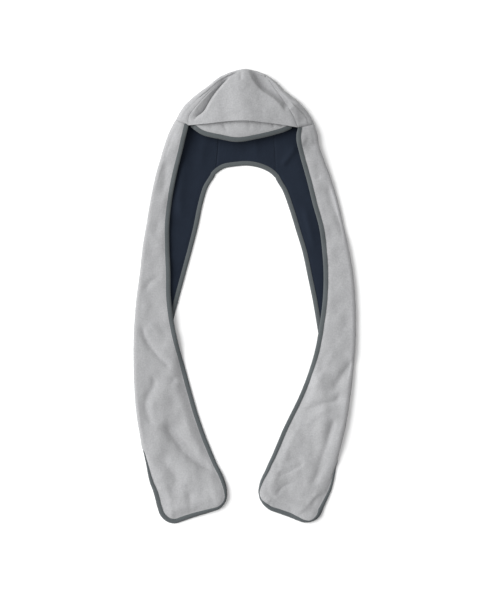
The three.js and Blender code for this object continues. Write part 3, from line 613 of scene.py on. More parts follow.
def curlDown(grid, rim, curl, turn):
    # turns the cloth beside the rim down, and brings the cloth behind it along
    flat = grid.reshape(-1, 3).copy()
    depth, _, along, _ = nearestOn(rim, flat[:, :2])
    amount = np.interp(along, walkedLength(rim), curl)
    way = np.gradient(rim, axis=0)
    out = np.column_stack([way[:, 1], -way[:, 0]]) * turn
    out = sampled(out, walkedLength(rim), along)
    out /= np.linalg.norm(out, axis=1, keepdims=True)
    plan, rise, _ = curled(depth, amount)
    fade = 1 - smooth(lie["curlFrom"], lie["curlTo"], depth)
    flat[:, :2] += out * ((depth - plan) * fade)[:, None]
    flat[:, 2] += rise * fade
    return flat.reshape(grid.shape)


def stripGrid(half):
    rows, seamRow, neckAt = rowPlaces(half)
    ending, endLine = endPlaces(half, rows[-1])
    flatFrom = len(rows) - weave["nearRows"]
    for front, fold in ending:
        rows.append((front, fold, fold + (front - fold) / np.linalg.norm(front - fold) * lie["overhang"]))
    grid, across = [], []
    for front, fold, back in rows:
        share = float(np.interp(fold[1], *np.array(half["unroll"], float).T))
        place, x = sectionRow(front, fold, back, share, endLine)
        grid.append(place)
        across.append(x)
    grid, across = np.array(grid), np.array(across)
    rim = np.vstack([grid[flatFrom:, 0, :2], grid[-1, 1:, :2], grid[flatFrom:-1, -1, :2][::-1]])
    toEdge = np.minimum(across, across[:, -1:] - across)
    toSeam = np.full(across.shape, farOff)
    toSeam[:seamRow + 1] = toEdge[:seamRow + 1]
    toSeam[seamRow:neckAt] = (across[:, -1:] - across)[seamRow:neckAt]
    toEdge[:seamRow] = farOff
    toEdge[seamRow:neckAt] = across[seamRow:neckAt]
    for i in range(flatFrom, len(grid)):
        toEdge[i] = nearestOn(rim, grid[i, :, :2])[0]
    for i in range(seamRow - weave["nearRows"], seamRow + weave["nearRows"] + 1):
        away = np.linalg.norm(grid[i] - grid[seamRow], axis=1)
        toSeam[i] = np.minimum(toSeam[i], away)
    level = grid.copy()
    rim = np.vstack([grid[neckAt:, 0, :2], grid[-1, 1:, :2], grid[flatFrom:-1, -1, :2][::-1]])
    curl = rimCurl(half, rim)
    grid[neckAt:] = curlDown(grid[neckAt:], rim, curl, -half["turn"])
    return {"grid": grid, "level": level, "rim": rim, "curl": curl, "toEdge": toEdge, "toSeam": toSeam,
            "seamRow": seamRow, "neckAt": neckAt, "turn": half["turn"]}


left = stripGrid(leftHalf)
right = stripGrid(rightHalf)
print("strips", left["grid"].shape, right["grid"].shape)


def borderIndex(strip):
    # up the front seam, over the tip, down the back seam: rows and columns of the strip's grid
    seamRow, neckAt, columns = strip["seamRow"], strip["neckAt"], strip["grid"].shape[1]
    i = np.concatenate([np.arange(seamRow, -1, -1), np.zeros(columns - 1, int), np.arange(1, neckAt + 1)])
    j = np.concatenate([np.zeros(seamRow + 1, int), np.arange(1, columns), np.full(neckAt, columns - 1)])
    return i, j


def centreSheet():
    i, j = borderIndex(left)
    a, b = left["grid"][i, j], right["grid"][i, j]
    last = len(a) - 1
    tip = slice(left["seamRow"], left["seamRow"] + left["grid"].shape[1])
    crest = left["seamRow"] + int(((a[tip] + b[tip])[:, 1]).argmax())
    apexTurn = np.array(hood["apex"]) - [0, lie["inset"]]
    grid, across = [], []

    def bow(path, row, u):
        straight = mix(a[row, :2], b[row, :2], u[:, None])
        out = evenly(path, u) - straight
        # nothing at the two seams, where the pieces meet
        return out - mix(out[0], out[-1], u[:, None])

    for r in range(last + 1):
        width = np.linalg.norm(a[r] - b[r])
        band = bandColumns * min(1, weave["bandShare"] * width / bandColumns[-1])
        inner = np.linspace(band[-1], width - band[-1], weave["centre"] + 1)
        x = np.concatenate([band, inner[1:-1], width - band[::-1]])
        u = x / width
        isFront = r <= crest
        ends = (0, crest) if isFront else (crest, last)
        share = np.clip((a[r, 1] - a[ends[0], 1]) / (a[ends[1], 1] - a[ends[0], 1]), 0, 1)
        first = bow(hood["frontEdge"] if isFront else apexTurn, ends[0], u)
        second = bow(apexTurn if isFront else hood["neckEdge"], ends[1], u)
        place = mix(a[r, :2], b[r, :2], u[:, None]) + mix(first, second, share)
        height = openHeight(place, bendAt(place))
        z = foldedTop(place, height) if isFront else foldedUnder(place, height)
        near = 1 - smooth(0, weave["matchShare"], u)
        z = z + (a[r, 2] - z[0]) * near + (b[r, 2] - z[-1]) * near[::-1]
        grid.append(np.column_stack([place, z]))
        across.append(x)
    grid, across = np.array(grid), np.array(across)
    toSeam = np.minimum(across, across[:, -1:] - across)
    return {"grid": grid, "toEdge": np.linalg.norm(grid - grid[-1], axis=2), "toSeam": toSeam, "turn": 1}


centre = centreSheet()
print("crown centre", centre["grid"].shape)


def sheetNormals(sheet):
    down = np.gradient(sheet["grid"], axis=0)
    over = np.gradient(sheet["grid"], axis=1)
    normal = np.cross(over, down) * sheet["turn"]
    return normal / np.maximum(np.linalg.norm(normal, axis=2, keepdims=True), 1e-9)


for sheet in (left, right, centre):
    sheet["normal"] = sheetNormals(sheet)
for strip, column in ((left, 0), (right, -1)):
    i, j = borderIndex(strip)
    shared = strip["normal"][i, j] + centre["normal"][:, column]
    shared /= np.linalg.norm(shared, axis=1, keepdims=True)
    strip["normal"][i, j] = shared
    centre["normal"][:, column] = shared


def linked(name, data):
    obj = bpy.data.objects.new(name, data)
    bpy.context.scene.collection.objects.link(obj)
    return obj


def newObject(name, verts, faces, material, uvs=None):
    mesh = bpy.data.meshes.new(name)
    mesh.from_pydata((np.asarray(verts) * mm).tolist(), [], faces)
    if uvs is not None:
        layer = mesh.uv_layers.new(name="tape")
        loops = np.zeros(len(mesh.loops), int)
        mesh.loops.foreach_get("vertex_index", loops)
        layer.data.foreach_set("uv", np.asarray(uvs, float)[loops].ravel())
    mesh.materials.append(material)
    mesh.polygons.foreach_set("use_smooth", np.ones(len(mesh.polygons), bool))
    mesh.update()
    return linked(name, mesh)


def wallFaces(rows, columns, turn):
    count = rows * columns
    i, j = np.meshgrid(np.arange(rows - 1), np.arange(columns - 1), indexing="ij")
    a = (i * columns + j).ravel()
    upper = np.column_stack([a, a + 1, a + columns + 1, a + columns])
    lower = np.column_stack([a, a + columns, a + columns + 1, a + 1]) + count
    j = np.arange(columns - 1)
    z = (rows - 1) * columns + j
    first = np.column_stack([j, count + j, count + j + 1, j + 1])
    last = np.column_stack([z, z + 1, count + z + 1, count + z])
    a = np.arange(rows - 1) * columns
    z = a + columns - 1
    near = np.column_stack([a, a + columns, count + a + columns, count + a])
    far = np.column_stack([z, count + z, count + z + columns, z + columns])
    faces = np.vstack([upper, lower, first, last, near, far])
    return (faces if turn > 0 else faces[:, ::-1]).tolist()


def settled(sheet, rows, borders):
    # the sheet's places with each border moved in: (first row, last row, first column, last column)
    grid = sheet["grid"][rows].copy()
    moved = grid.copy()
    pairs = ((np.s_[0], np.s_[1]), (np.s_[-1], np.s_[-2]),
             (np.s_[:, 0], np.s_[:, 1]), (np.s_[:, -1], np.s_[:, -2]))
    for (own, inner), amount in zip(pairs, borders):
        way = grid[inner] - grid[own]
        way /= np.maximum(np.linalg.norm(way, axis=-1, keepdims=True), 1e-9)
        amount = np.asarray(amount, float)
        moved[own] += way * (amount[:, None] if amount.ndim else amount)
    return moved


def faceHeights(sheet, rows):
    # how full the cloth is: thin in the binding, dipped at seams and along their topstitching
    toEdge, toSeam = sheet["toEdge"][rows], sheet["toSeam"][rows]
    pinch = mix(clothCut["pinched"], 1, smooth(clothCut["pinchFull"], clothCut["pinchNone"], toEdge))
    dip = clothCut["seamDip"] * np.exp(-(toSeam / clothCut["seamWidth"]) ** 2)
    dip += clothCut["stitchDip"] * np.exp(-((toSeam - clothCut["stitchAt"]) / clothCut["stitchWidth"]) ** 2)
    place = sheet["grid"][rows].reshape(-1, 3)
    tips = np.array([hood["apex"][0], hood["apex"][-1]], float)
    toTip = np.linalg.norm(place[:, None, :2] - tips, axis=2).min(1).reshape(toEdge.shape)
    dip *= smooth(clothCut["tipFrom"], clothCut["tipTo"], toTip)
    nap = waveHeight(plushWaves, place[:, :2]).reshape(toEdge.shape)
    return pinch, dip, nap * smooth(0, plush["fadeAt"], np.minimum(toEdge, toSeam))


def clothPiece(name, sheet, rows, borders, finish):
    # the grey face lies over the middle surface, the navy lining under it
    grid = settled(sheet, rows, borders)
    normal = sheet["normal"][rows]
    pinch, dip, nap = faceHeights(sheet, rows)
    gap = clothCut["halfGap"]
    if finish == "greyFleece":
        high = (gap + clothCut["grey"]) * pinch - dip + nap
        upper, lower = grid + normal * high[..., None], grid + normal * gap
    else:
        low = -(gap + clothCut["lining"]) * pinch + dip * clothCut["liningDip"] - nap
        upper, lower = grid - normal * gap, grid + normal * low[..., None]
    verts = np.concatenate([upper.reshape(-1, 3), lower.reshape(-1, 3)])
    pieces[name] = newObject(name, verts, wallFaces(*grid.shape[:2], sheet["turn"]), materials[finish])


def node(tree, kind, **values):
    made = tree.nodes.new(kind)
    for name, value in values.items():
        setattr(made, name, value)
    return made


def openGroup(name, kind, inputs, outputs):
    # a new group with its sockets: inputs are (name, type, value), the value None where there is none
    tree = bpy.data.node_groups.new(name, kind)
    for label, socketType, value in inputs:
        socket = tree.interface.new_socket(label, in_out="INPUT", socket_type="NodeSocket" + socketType)
        if value is not None:
            socket.default_value = value
    for label, socketType in outputs:
        tree.interface.new_socket(label, in_out="OUTPUT", socket_type="NodeSocket" + socketType)
    return tree, node(tree, "NodeGroupInput"), node(tree, "NodeGroupOutput")


def noiseAt(tree, vector, scale, detail, rough=0.5):
    noise = node(tree, "ShaderNodeTexNoise")
    noise.inputs["Scale"].default_value = scale
    noise.inputs["Detail"].default_value = detail
    noise.inputs["Roughness"].default_value = rough
    tree.links.new(vector, noise.inputs["Vector"])
    return noise.outputs["Fac"]


def maths(tree, operation, a, b=None, c=None):
    made = node(tree, "ShaderNodeMath", operation=operation)
    for slot, value in zip(made.inputs, (a, b, c)):
        if value is None:
            continue
        if isinstance(value, (int, float)):
            slot.default_value = value
        else:
            tree.links.new(value, slot)
    return made.outputs[0]


def tinted(tree, colour, factor):
    scaled = node(tree, "ShaderNodeVectorMath", operation="SCALE")
    tree.links.new(colour, scaled.inputs[0])
    tree.links.new(factor, scaled.inputs["Scale"])
    return scaled.outputs["Vector"]


# Noise scales are a metre's worth, shares and shades are of one
pile = {"mottleScale": 26, "tuftScale": 340, "fibreScale": 900, "leastRough": 0.82, "roughSpan": 0.16,
        "tuftShare": 0.7, "bump": 0.8}
ribs = {"grainScale": 320, "grainShade": 0.35, "ribShare": 0.7, "bump": 0.6, "bumpHeight": 0.0004}


def surfaceBump(tree, strength, coarse, share, fine):
    # a bump from two masks, the coarse one having the given share
    bump = node(tree, "ShaderNodeBump")
    bump.inputs["Strength"].default_value = strength
    height = maths(tree, "MULTIPLY_ADD", coarse, share, maths(tree, "MULTIPLY", fine, 1 - share))
    tree.links.new(height, bump.inputs["Height"])
    return bump


def fleecePile():
    # brushed fleece: broad mottling, small tufts and a fine pile that breaks up the light
    tree, given, result = openGroup(
        "fleecePile", "ShaderNodeTree",
        [("Tint", "Color", (0.5, 0.5, 0.5, 1)), ("Mottle", "Float", 0.1), ("Tufts", "Float", 0.1),
         ("Pile height", "Float", 0.0006)],
        [("Color", "Color"), ("Roughness", "Float"), ("Normal", "Vector")])
    place = node(tree, "ShaderNodeTexCoord").outputs["Object"]
    broad = noiseAt(tree, place, pile["mottleScale"], 3)
    tuft = noiseAt(tree, place, pile["tuftScale"], 2, 0.7)
    fibre = noiseAt(tree, place, pile["fibreScale"], 2, 0.6)
    value = maths(tree, "MULTIPLY_ADD", maths(tree, "SUBTRACT", broad, 0.5), given.outputs["Mottle"], 1.0)
    value = maths(tree, "MULTIPLY_ADD", maths(tree, "SUBTRACT", tuft, 0.5), given.outputs["Tufts"], value)
    tree.links.new(tinted(tree, given.outputs["Tint"], value), result.inputs["Color"])
    rough = maths(tree, "MULTIPLY_ADD", tuft, pile["roughSpan"], pile["leastRough"])
    tree.links.new(rough, result.inputs["Roughness"])
    bump = surfaceBump(tree, pile["bump"], tuft, pile["tuftShare"], fibre)
    tree.links.new(given.outputs["Pile height"], bump.inputs["Distance"])
    tree.links.new(bump.outputs["Normal"], result.inputs["Normal"])
    return tree


def ribbedTape():
    # narrow knitted tape with fine slanting ribs; reads the tape's own map, in metres. The colour is painted
    # lighter on the rib crests and darker in their troughs, as painted shade of the ribs' relief
    tree, given, result = openGroup(
        "ribbedTape", "ShaderNodeTree",
        [("Tint", "Color", (0.2, 0.2, 0.2, 1)), ("Rib pitch", "Float", 0.0016), ("Slant", "Float", 0.6),
         ("Rib painted shade", "Float", 0.16)],
        [("Color", "Color"), ("Normal", "Vector")])
    place = node(tree, "ShaderNodeSeparateXYZ")
    tree.links.new(node(tree, "ShaderNodeUVMap", uv_map="tape").outputs["UV"], place.inputs[0])
    slanted = maths(tree, "MULTIPLY_ADD", place.outputs["Y"], given.outputs["Slant"], place.outputs["X"])
    turns = maths(tree, "DIVIDE", slanted, given.outputs["Rib pitch"])
    wave = maths(tree, "SINE", maths(tree, "MULTIPLY", turns, 2 * math.pi))
    rib = maths(tree, "MULTIPLY_ADD", wave, 0.5, 0.5)
    solid = node(tree, "ShaderNodeTexCoord").outputs["Object"]
    grain = noiseAt(tree, solid, ribs["grainScale"], 3, 0.6)
    # painted shade: the rib wave that also raises the bump darkens the colour in the troughs between the ribs
    value = maths(tree, "MULTIPLY_ADD", maths(tree, "SUBTRACT", rib, 0.5), given.outputs["Rib painted shade"], 1.0)
    value = maths(tree, "MULTIPLY_ADD", maths(tree, "SUBTRACT", grain, 0.5), ribs["grainShade"], value)
    tree.links.new(tinted(tree, given.outputs["Tint"], value), result.inputs["Color"])
    bump = surfaceBump(tree, ribs["bump"], rib, ribs["ribShare"], grain)
    bump.inputs["Distance"].default_value = ribs["bumpHeight"]
    tree.links.new(bump.outputs["Normal"], result.inputs["Normal"])
    return tree


groups = {"fleecePile": fleecePile(), "ribbedTape": ribbedTape()}


def clothMaterial(name, group, values, shader):
    material = bpy.data.materials.new(name)
    material.use_nodes = True
    tree = material.node_tree
    surface = tree.nodes["Principled BSDF"]
    effect = node(tree, "ShaderNodeGroup")
    effect.node_tree = groups[group]
    for key, value in values.items():
        effect.inputs[key].default_value = value
    tree.links.new(effect.outputs["Color"], surface.inputs["Base Color"])
    tree.links.new(effect.outputs["Normal"], surface.inputs["Normal"])
    if "Roughness" in effect.outputs:
        tree.links.new(effect.outputs["Roughness"], surface.inputs["Roughness"])
    for key, value in shader.items():
        surface.inputs[key].default_value = value
    return material


finishes = {
    "greyFleece": ("fleecePile", {"Tint": (0.317, 0.319, 0.326, 1), "Mottle": 0.06, "Tufts": 0.6,
                                  "Pile height": 0.0007},
                   {"Sheen Weight": 0.3, "Sheen Roughness": 0.5, "Specular IOR Level": 0.15}),
    "navyFleece": ("fleecePile", {"Tint": (0.0115, 0.0165, 0.027, 1), "Mottle": 0.3, "Tufts": 0.3,
                                  "Pile height": 0.0006},
                   {"Sheen Weight": 0.04, "Sheen Roughness": 0.5, "Specular IOR Level": 0.1}),
    "binding": ("ribbedTape", {"Tint": (0.077, 0.087, 0.091, 1)},
                {"Roughness": 0.8, "Sheen Weight": 0.15, "Sheen Roughness": 0.5, "Specular IOR Level": 0.2}),
}
for name, tint, rough, shine in (
    ("greyThread", (0.36, 0.365, 0.375, 1), 0.7, 0.25),
    ("tapeThread", (0.105, 0.117, 0.122, 1), 0.6, 0.3),
    ("navyThread", (0.02, 0.028, 0.042, 1), 0.7, 0.25),
):
    finishes[name] = ("fleecePile", {"Tint": tint, "Mottle": 0.05, "Tufts": 0.1, "Pile height": 0.0001},
                      {"Roughness": rough, "Specular IOR Level": shine})
materials = {name: clothMaterial(name, *parts) for name, parts in finishes.items()}
print("materials", len(materials))

# The cloth pieces; a bound border tucks into its binding, a sewn one stops at the seam
seam, tuck, shift = clothCut["seamGap"], clothCut["tuckIn"], clothCut["seamShift"]
pieces = {}
for side, strip in (("Left", left), ("Right", right)):
    seamRow, neckAt = strip["seamRow"], strip["neckAt"]
    count = len(strip["grid"])
    rowNumbers = np.arange(count)
    frontTuck = np.where(rowNumbers >= seamRow, tuck, seam)
    backTuck = np.where(rowNumbers >= neckAt, tuck, seam)
    sideRows, stripRows = slice(0, seamRow + 1), slice(seamRow, count)
    clothPiece("crownSide" + side, strip, sideRows, (seam, seam, seam, seam), "greyFleece")
    borders = (seam, tuck, frontTuck[seamRow:], backTuck[seamRow:])
    clothPiece("scarf" + side, strip, stripRows, borders, "greyFleece")
    # the lining's seams lie a little beside the face's, so that no light comes through
    backTuck = np.where(rowNumbers >= neckAt, tuck, -shift)
    frontTuck = np.where(rowNumbers >= seamRow, tuck, -shift)
    clothPiece("lining" + side, strip, slice(0, count), (-shift, tuck, frontTuck, backTuck), "navyFleece")
whole = slice(0, len(centre["grid"]))
clothPiece("crownCentre", centre, whole, (seam, tuck, seam, seam), "greyFleece")
beside = shift + 2 * seam
clothPiece("liningCentre", centre, whole, (seam, tuck, beside, beside), "navyFleece")
print("cloth", list(pieces))

# Binding: one tape round every open edge, from one end of the brim to the other
tapeCut = {"width": 10, "half": 2.3, "slot": 1.15, "lip": 1.0, "closest": 0.6}


def tapeProfile(width):
    # depth into the cloth and height over its middle surface, round the folded tape
    half = tapeCut["half"]
    face = [(width, 0.66), (width - 0.4, 0.8), (width - 0.9, 0.82), (width - 1.6, 0.9), (width * 0.66, 1),
            (width * 0.42, 1), (2.2, 0.88), (0.8, 0.64), (0.05, 0.34)]
    upper = [(depth, half * height) for depth, height in face]
    lower = [(depth, -height) for depth, height in upper[::-1]]
    slot = tapeCut["slot"]
    inner = [(width, -slot), (tapeCut["lip"], -slot), (tapeCut["lip"], slot), (width, slot)]
    return np.array(upper + [(-0.25, 0)] + lower + inner)


def stripFrames(strip, rows, fromFront):
    # at each row: the places and normals at the band's depths from the bound edge
    take = np.arange(len(bandColumns)) if fromFront else -1 - np.arange(len(bandColumns))
    return [(strip["grid"][i][take], strip["normal"][i][take]) for i in rows]


def edgeWay(places, sign):
    # the way into the cloth, square to its edge and level
    way = np.gradient(places, axis=0)
    way /= np.linalg.norm(way, axis=1, keepdims=True)
    return np.column_stack([-way[:, 1], way[:, 0], np.zeros(len(way))]) * -sign


def endFrames(strip, sign):
    # round a strip's end, where the tape lies square to its own edge and may curl down with it
    start = len(strip["level"]) - weave["cornerRows"] - 2
    grid = strip["level"]
    places = np.vstack([grid[start:-1, 0], grid[-1], grid[start:-1, -1][::-1]])
    along = nearestOn(strip["rim"], places[:, :2])[2]
    amount = np.interp(along, walkedLength(strip["rim"]), strip["curl"])
    up = np.array([0, 0, 1.0])
    frames = []
    for place, way, curl in zip(places, edgeWay(places, sign), amount):
        plan, rise, ahead = curled(bandColumns, curl)
        frames.append((place + np.outer(plan, way) + np.outer(rise, up),
                       np.outer(np.cos(ahead), up) - np.outer(np.sin(ahead), way)))
    return start, frames


def neckFrames():
    places = centre["grid"][-1]
    under = np.tile([0, 0, -1.0], (len(bandColumns), 1))
    return [(place + np.outer(bandColumns, way), under) for place, way in zip(places, edgeWay(places, -1))]


def tapeMesh(name, frames, width, material):
    profile = tapeProfile(width)
    sides = len(profile)
    depth = np.clip(profile[:, 0], 0, None)
    verts, edge = [], []
    for places, normals in frames:
        inward = places[1] - places[0]
        inward /= np.linalg.norm(inward)
        base = sampled(places, bandColumns, depth)
        base += np.outer(np.minimum(profile[:, 0], 0), inward)
        verts.append(base + sampled(normals, bandColumns, depth) * profile[:, 1:2])
        edge.append(places[0])
    walked = walkedLength(np.array(edge))
    girth = walkedLength(profile)
    uvs = np.array([(u, v) for u in walked for v in girth]) * mm
    count = len(frames)
    i, s = np.meshgrid(np.arange(count - 1), np.arange(sides), indexing="ij")
    a = (i * sides + s).ravel()
    b = (i * sides + (s + 1) % sides).ravel()
    faces = np.column_stack([a, a + sides, b + sides, b]).tolist()
    faces.append(list(range(sides)))
    faces.append([(count - 1) * sides + s for s in range(sides)][::-1])
    return newObject(name, np.concatenate(verts), faces, material, uvs)


def tidyFrames(frames):
    # drops places that lie on one another
    kept = [frames[0]]
    for nextFrame in frames[1:]:
        if np.linalg.norm(nextFrame[0][0] - kept[-1][0][0]) > tapeCut["closest"]:
            kept.append(nextFrame)
    return kept


leftStart, leftEnd = endFrames(left, 1)
rightStart, rightEnd = endFrames(right, -1)
edgeFrames = stripFrames(left, range(left["seamRow"], leftStart), True) + leftEnd
edgeFrames += stripFrames(left, range(leftStart - 1, left["neckAt"] - 1, -1), False)
edgeFrames += neckFrames()
edgeFrames += stripFrames(right, range(right["neckAt"], rightStart), False) + rightEnd[::-1]
edgeFrames += stripFrames(right, range(rightStart - 1, right["seamRow"] - 1, -1), True)
edgeFrames = tidyFrames(edgeFrames)
pieces["edgeBinding"] = tapeMesh("edgeBinding", edgeFrames, tapeCut["width"], materials["binding"])
print("edge binding", len(edgeFrames), "places")

# Brim: a soft two-layer flap that hangs from under the crown's front edge to a shallow point
brimCut = {
    "edge": [(-118, 371), (-93.9, 354.2), (-54.3, 344.3), (-16.9, 338.1), (24.9, 344.3), (64.5, 353.5),
             (90.9, 361.9), (103.5, 368.5)],
    "thick": 3, "tuck": 14, "drop": 7.5, "tipHeight": 25, "endHeight": 19, "bulge": 2.5, "band": 10.4,
    "from": 0.04, "to": 0.94, "bandShare": 0.85, "bulgeTo": 0.75,
}


def brimSheet():
    u = np.linspace(0, 1, weave["brimAcross"] + 1)
    edge = evenly(brimCut["edge"], u)
    top = evenly(hood["frontEdge"], mix(brimCut["from"], brimCut["to"], u)) + np.array([0, brimCut["tuck"]])
    topZ = foldedTop(top, openHeight(top, bendAt(top))) - brimCut["drop"]
    edgeZ = np.minimum(mix(brimCut["endHeight"], brimCut["tipHeight"], np.sin(math.pi * u)), topZ)
    depth = np.linalg.norm(edge - top, axis=1)
    rows = []
    for v in range(len(bandColumns) + weave["brimDown"]):
        if v < len(bandColumns):
            t = np.minimum(bandColumns[v] / depth, brimCut["bandShare"] * v / (len(bandColumns) - 1))
        else:
            first = np.minimum(bandColumns[-1] / depth, brimCut["bandShare"])
            t = mix(first, 1, (v - len(bandColumns) + 1) / weave["brimDown"])
        z = mix(edgeZ, topZ, t) + brimCut["bulge"] * np.sin(math.pi * np.minimum(1, t / brimCut["bulgeTo"]))
        place = mix(edge, top, t[:, None])
        rows.append(np.column_stack([place, z + foldRelief(brimPaths, place)]))
    grid = np.array(rows)
    sheet = {"grid": grid, "turn": 1, "toEdge": np.linalg.norm(grid - grid[0], axis=2),
             "toSeam": np.full(grid.shape[:2], farOff)}
    sheet["normal"] = sheetNormals(sheet)
    return sheet


def brimPiece(sheet):
    grid = settled(sheet, slice(None), (tuck, 0, seam, seam))
    pinch, _, nap = faceHeights(sheet, slice(None))
    high = brimCut["thick"] / 2 * pinch[..., None] * sheet["normal"]
    verts = np.concatenate([(grid + high + sheet["normal"] * nap[..., None]).reshape(-1, 3),
                            (grid - high).reshape(-1, 3)])
    return newObject("crownBrim", verts, wallFaces(*grid.shape[:2], 1), materials["greyFleece"])


brim = brimSheet()
pieces["brim"] = brimPiece(brim)
brimFrames = [(brim["grid"][:len(bandColumns), k], brim["normal"][:len(bandColumns), k])
              for k in range(weave["brimAcross"], -1, -1)]
pieces["brimBinding"] = tapeMesh("brimBinding", brimFrames, brimCut["band"], materials["binding"])
print("brim")


# Stitching: seams topstitched on both sides, tapes sewn down along their inner edge
stitchCut = {"pitch": 3.2, "length": 2.5, "thread": 0.5, "tapeThread": 0.45, "sides": 6, "rings": 5,
             "seamAt": 3, "tapeAt": 1.3, "brimAt": 1.4, "tapeHigh": 0.84,
             "fromTip": 7, "fromEdge": 2, "fromNeck": 8}


def stitchRun():
    # small threads laid end to end along every line of the mesh that it is given
    tree, given, result = openGroup(
        "stitchRun", "GeometryNodeTree",
        [("Lines", "Geometry", None), ("Pitch", "Float", stitchCut["pitch"] * mm),
         ("Stitch length", "Float", stitchCut["length"] * mm),
         ("Thread width", "Float", stitchCut["thread"] * mm), ("Thread", "Material", None)],
        [("Stitches", "Geometry")])
    curve = node(tree, "GeometryNodeMeshToCurve")
    points = node(tree, "GeometryNodeCurveToPoints", mode="LENGTH")
    ball = node(tree, "GeometryNodeMeshUVSphere")
    ball.inputs["Segments"].default_value = stitchCut["sides"]
    ball.inputs["Rings"].default_value = stitchCut["rings"]
    ball.inputs["Radius"].default_value = 0.5
    size = node(tree, "ShaderNodeCombineXYZ")
    place = node(tree, "GeometryNodeInstanceOnPoints")
    real = node(tree, "GeometryNodeRealizeInstances")
    soft = node(tree, "GeometryNodeSetShadeSmooth")
    finish = node(tree, "GeometryNodeSetMaterial")
    links = (
        (given.outputs["Lines"], curve.inputs["Mesh"]),
        (curve.outputs["Curve"], points.inputs["Curve"]),
        (given.outputs["Pitch"], points.inputs["Length"]),
        (points.outputs["Points"], place.inputs["Points"]),
        (points.outputs["Rotation"], place.inputs["Rotation"]),
        (ball.outputs["Mesh"], place.inputs["Instance"]),
        (given.outputs["Thread width"], size.inputs["X"]),
        (given.outputs["Thread width"], size.inputs["Y"]),
        (given.outputs["Stitch length"], size.inputs["Z"]),
        (size.outputs["Vector"], place.inputs["Scale"]),
        (place.outputs["Instances"], real.inputs["Geometry"]),
        (real.outputs["Geometry"], soft.inputs["Geometry"]),
        (soft.outputs["Geometry"], finish.inputs["Geometry"]),
        (given.outputs["Thread"], finish.inputs["Material"]),
        (finish.outputs["Geometry"], result.inputs["Stitches"]),
    )
    for start, end in links:
        tree.links.new(start, end)
    return tree


stitchTree = stitchRun()


def stitchPiece(name, lines, thread, width):
    verts = np.concatenate(lines)
    ends = np.cumsum([len(line) for line in lines])
    edges = [(i, i + 1) for i in range(len(verts) - 1) if i + 1 not in ends]
    mesh = bpy.data.meshes.new(name)
    mesh.from_pydata((verts * mm).tolist(), edges, [])
    obj = linked(name, mesh)
    sewn = obj.modifiers.new("stitches", "NODES")
    sewn.node_group = stitchTree
    sockets = {item.name: item.identifier for item in stitchTree.interface.items_tree
               if item.item_type == "SOCKET" and item.in_out == "INPUT"}
    sewn[sockets["Thread width"]] = width * mm
    sewn[sockets["Thread"]] = materials[thread]
    shaped = obj.evaluated_get(bpy.context.evaluated_depsgraph_get())
    made = bpy.data.meshes.new_from_object(shaped)
    obj.modifiers.remove(sewn)
    obj.data = made
    made.name = name
    print("stitches", name, len(made.polygons))
    return obj


def sewnLine(frames, depth, height):
    # along a row of places and normals, at one depth from the edge and one height over the middle surface
    return np.vstack([sampled(places + normals * height, bandColumns, depth) for places, normals in frames])


def seamLines(height):
    lines = []
    for strip, centreSide in ((left, True), (right, False)):
        seamRow, neckAt = strip["seamRow"], strip["neckAt"]
        tip = seamRow + strip["grid"].shape[1] - 1
        fromTip, fromEdge, fromNeck = stitchCut["fromTip"], stitchCut["fromEdge"], stitchCut["fromNeck"]
        runs = (
            (strip, range(fromTip, seamRow - fromEdge), True),
            (strip, range(fromTip, neckAt - fromNeck), False),
            (centre, range(fromEdge, seamRow - fromTip), centreSide),
            (centre, range(tip + fromTip, len(centre["grid"]) - fromNeck), centreSide),
        )
        for sheet, rows, fromFront in runs:
            lines.append(sewnLine(stripFrames(sheet, rows, fromFront), stitchCut["seamAt"], height))
    return lines


def tapeLines(frames, depth):
    # on both faces of the folded tape
    high = tapeCut["half"] * stitchCut["tapeHigh"]
    return [sewnLine(frames, depth, side * high) for side in (1, -1)]


seamHigh = clothCut["halfGap"] + clothCut["grey"] - clothCut["stitchDip"]
liningLow = -(clothCut["halfGap"] + clothCut["lining"] - clothCut["stitchDip"] * clothCut["liningDip"])
sewnTapes = tapeLines(edgeFrames, tapeCut["width"] - stitchCut["tapeAt"])
sewnTapes += tapeLines(brimFrames, brimCut["band"] - stitchCut["brimAt"])
for name, lines, thread, width, slotName in (
    ("seamStitches", seamLines(seamHigh), "greyThread", stitchCut["thread"], "grey_fleece"),
    ("liningStitches", seamLines(liningLow), "navyThread", stitchCut["thread"], "navy_fleece"),
    ("tapeStitches", sewnTapes, "tapeThread", stitchCut["tapeThread"], "binding_tape"),
):
    pieces[name] = stitchPiece(name, lines, thread, width)
    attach(pieces[name], "root")


declared = [
    ("crownCentre", "crown_centre", "grey_fleece", centre, whole, "folded"),
    ("liningCentre", "lining_centre", "navy_fleece", centre, whole, "folded"),
    ("brim", "brim", "grey_fleece", brim, slice(None), "laid"),
]
for side, strip in (("Left", left), ("Right", right)):
    seamRow, count = strip["seamRow"], len(strip["grid"])
    low = side.lower()
    declared += [
        ("crownSide" + side, "crown_side_" + low, "grey_fleece", strip, slice(0, seamRow + 1), "folded"),
        ("scarf" + side, "scarf_" + low, "grey_fleece", strip, slice(seamRow, count), "folded"),
        ("lining" + side, "lining_" + low, "navy_fleece", strip, slice(0, count), "folded"),
    ]
for name, nodeName, slot, sheet, rows, held in declared:
    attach(pieces[name], "root")
    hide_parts(nodeName)

for name, nodeNames in (("edgeBinding", ("front_binding_left", "neck_binding", "front_binding_right")),
                        ("brimBinding", ("brim_binding",))):
    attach(pieces[name], "root")
    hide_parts(*nodeNames)


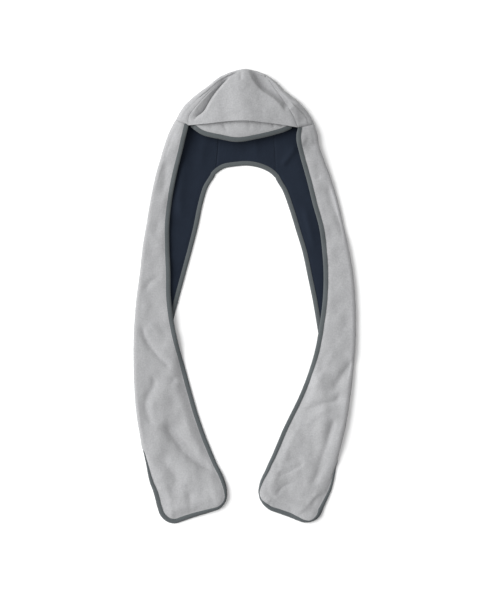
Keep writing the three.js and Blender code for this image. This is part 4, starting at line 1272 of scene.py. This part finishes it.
def studioFloor():
    half = studio["floorSize"] / 2
    mesh = bpy.data.meshes.new("floor")
    corners = [(-half, -half, 0), (half, -half, 0), (half, half, 0), (-half, half, 0)]
    mesh.from_pydata(corners, [], [(0, 1, 2, 3)])
    paint = bpy.data.materials.new("floorWhite")
    paint.use_nodes = True
    surface = paint.node_tree.nodes["Principled BSDF"]
    surface.inputs["Base Color"].default_value = (*[studio["floorWhite"]] * 3, 1)
    surface.inputs["Roughness"].default_value = studio["floorRough"]
    surface.inputs["Specular IOR Level"].default_value = studio["floorShine"]
    mesh.materials.append(paint)
    floor = linked("floor", mesh)


def studioLight():
    data = bpy.data.lights.new("key", "SUN")
    data.energy = studio["key"]
    data.angle = math.radians(studio["keySpread"])
    light = linked("key", data)
    height, bearing = math.radians(studio["keyHeight"]), math.radians(studio["keyBearing"])
    away, level = studio["keyAway"], studio["keyAway"] * math.cos(height)
    light.location = (level * math.cos(bearing), level * math.sin(bearing), away * math.sin(height))
    light.rotation_euler = (-light.location).to_track_quat("-Z", "Y").to_euler()
    world = bpy.data.worlds.new("fill")
    world.use_nodes = True
    tree = world.node_tree
    sky = tree.nodes["Background"]
    sky.inputs["Color"].default_value = (1, 1, 1, 1)
    # a soft box overhead: the fill comes mostly from above, and little from the walls
    way = node(tree, "ShaderNodeSeparateXYZ")
    tree.links.new(node(tree, "ShaderNodeTexCoord").outputs["Generated"], way.inputs[0])
    up = maths(tree, "MAXIMUM", way.outputs["Z"], 0.0)
    share = maths(tree, "MULTIPLY_ADD", maths(tree, "MULTIPLY", up, up), studio["zenith"], studio["horizon"])
    tree.links.new(maths(tree, "MULTIPLY", share, studio["fill"]), sky.inputs["Strength"])
    bpy.context.scene.world = world


def studioCamera():
    data = bpy.data.cameras.new("above")
    data.sensor_fit = "VERTICAL"
    data.sensor_height = shot["sensor"]
    data.sensor_width = shot["sensor"] * shot["picture"][0] / shot["picture"][1]
    data.lens = shot["sensor"] * shot["height"] / (shot["pixel"] * shot["picture"][1])
    data.clip_end = shot["farClip"]
    camera = linked("above", data)
    camera.location = (shot["aim"][0] * mm, shot["aim"][1] * mm, shot["height"] * mm)
    bpy.context.scene.camera = camera


studioFloor()
studioLight()
studioCamera()
view = bpy.context.scene.view_settings
view.view_transform = "Standard"
view.look = "None"
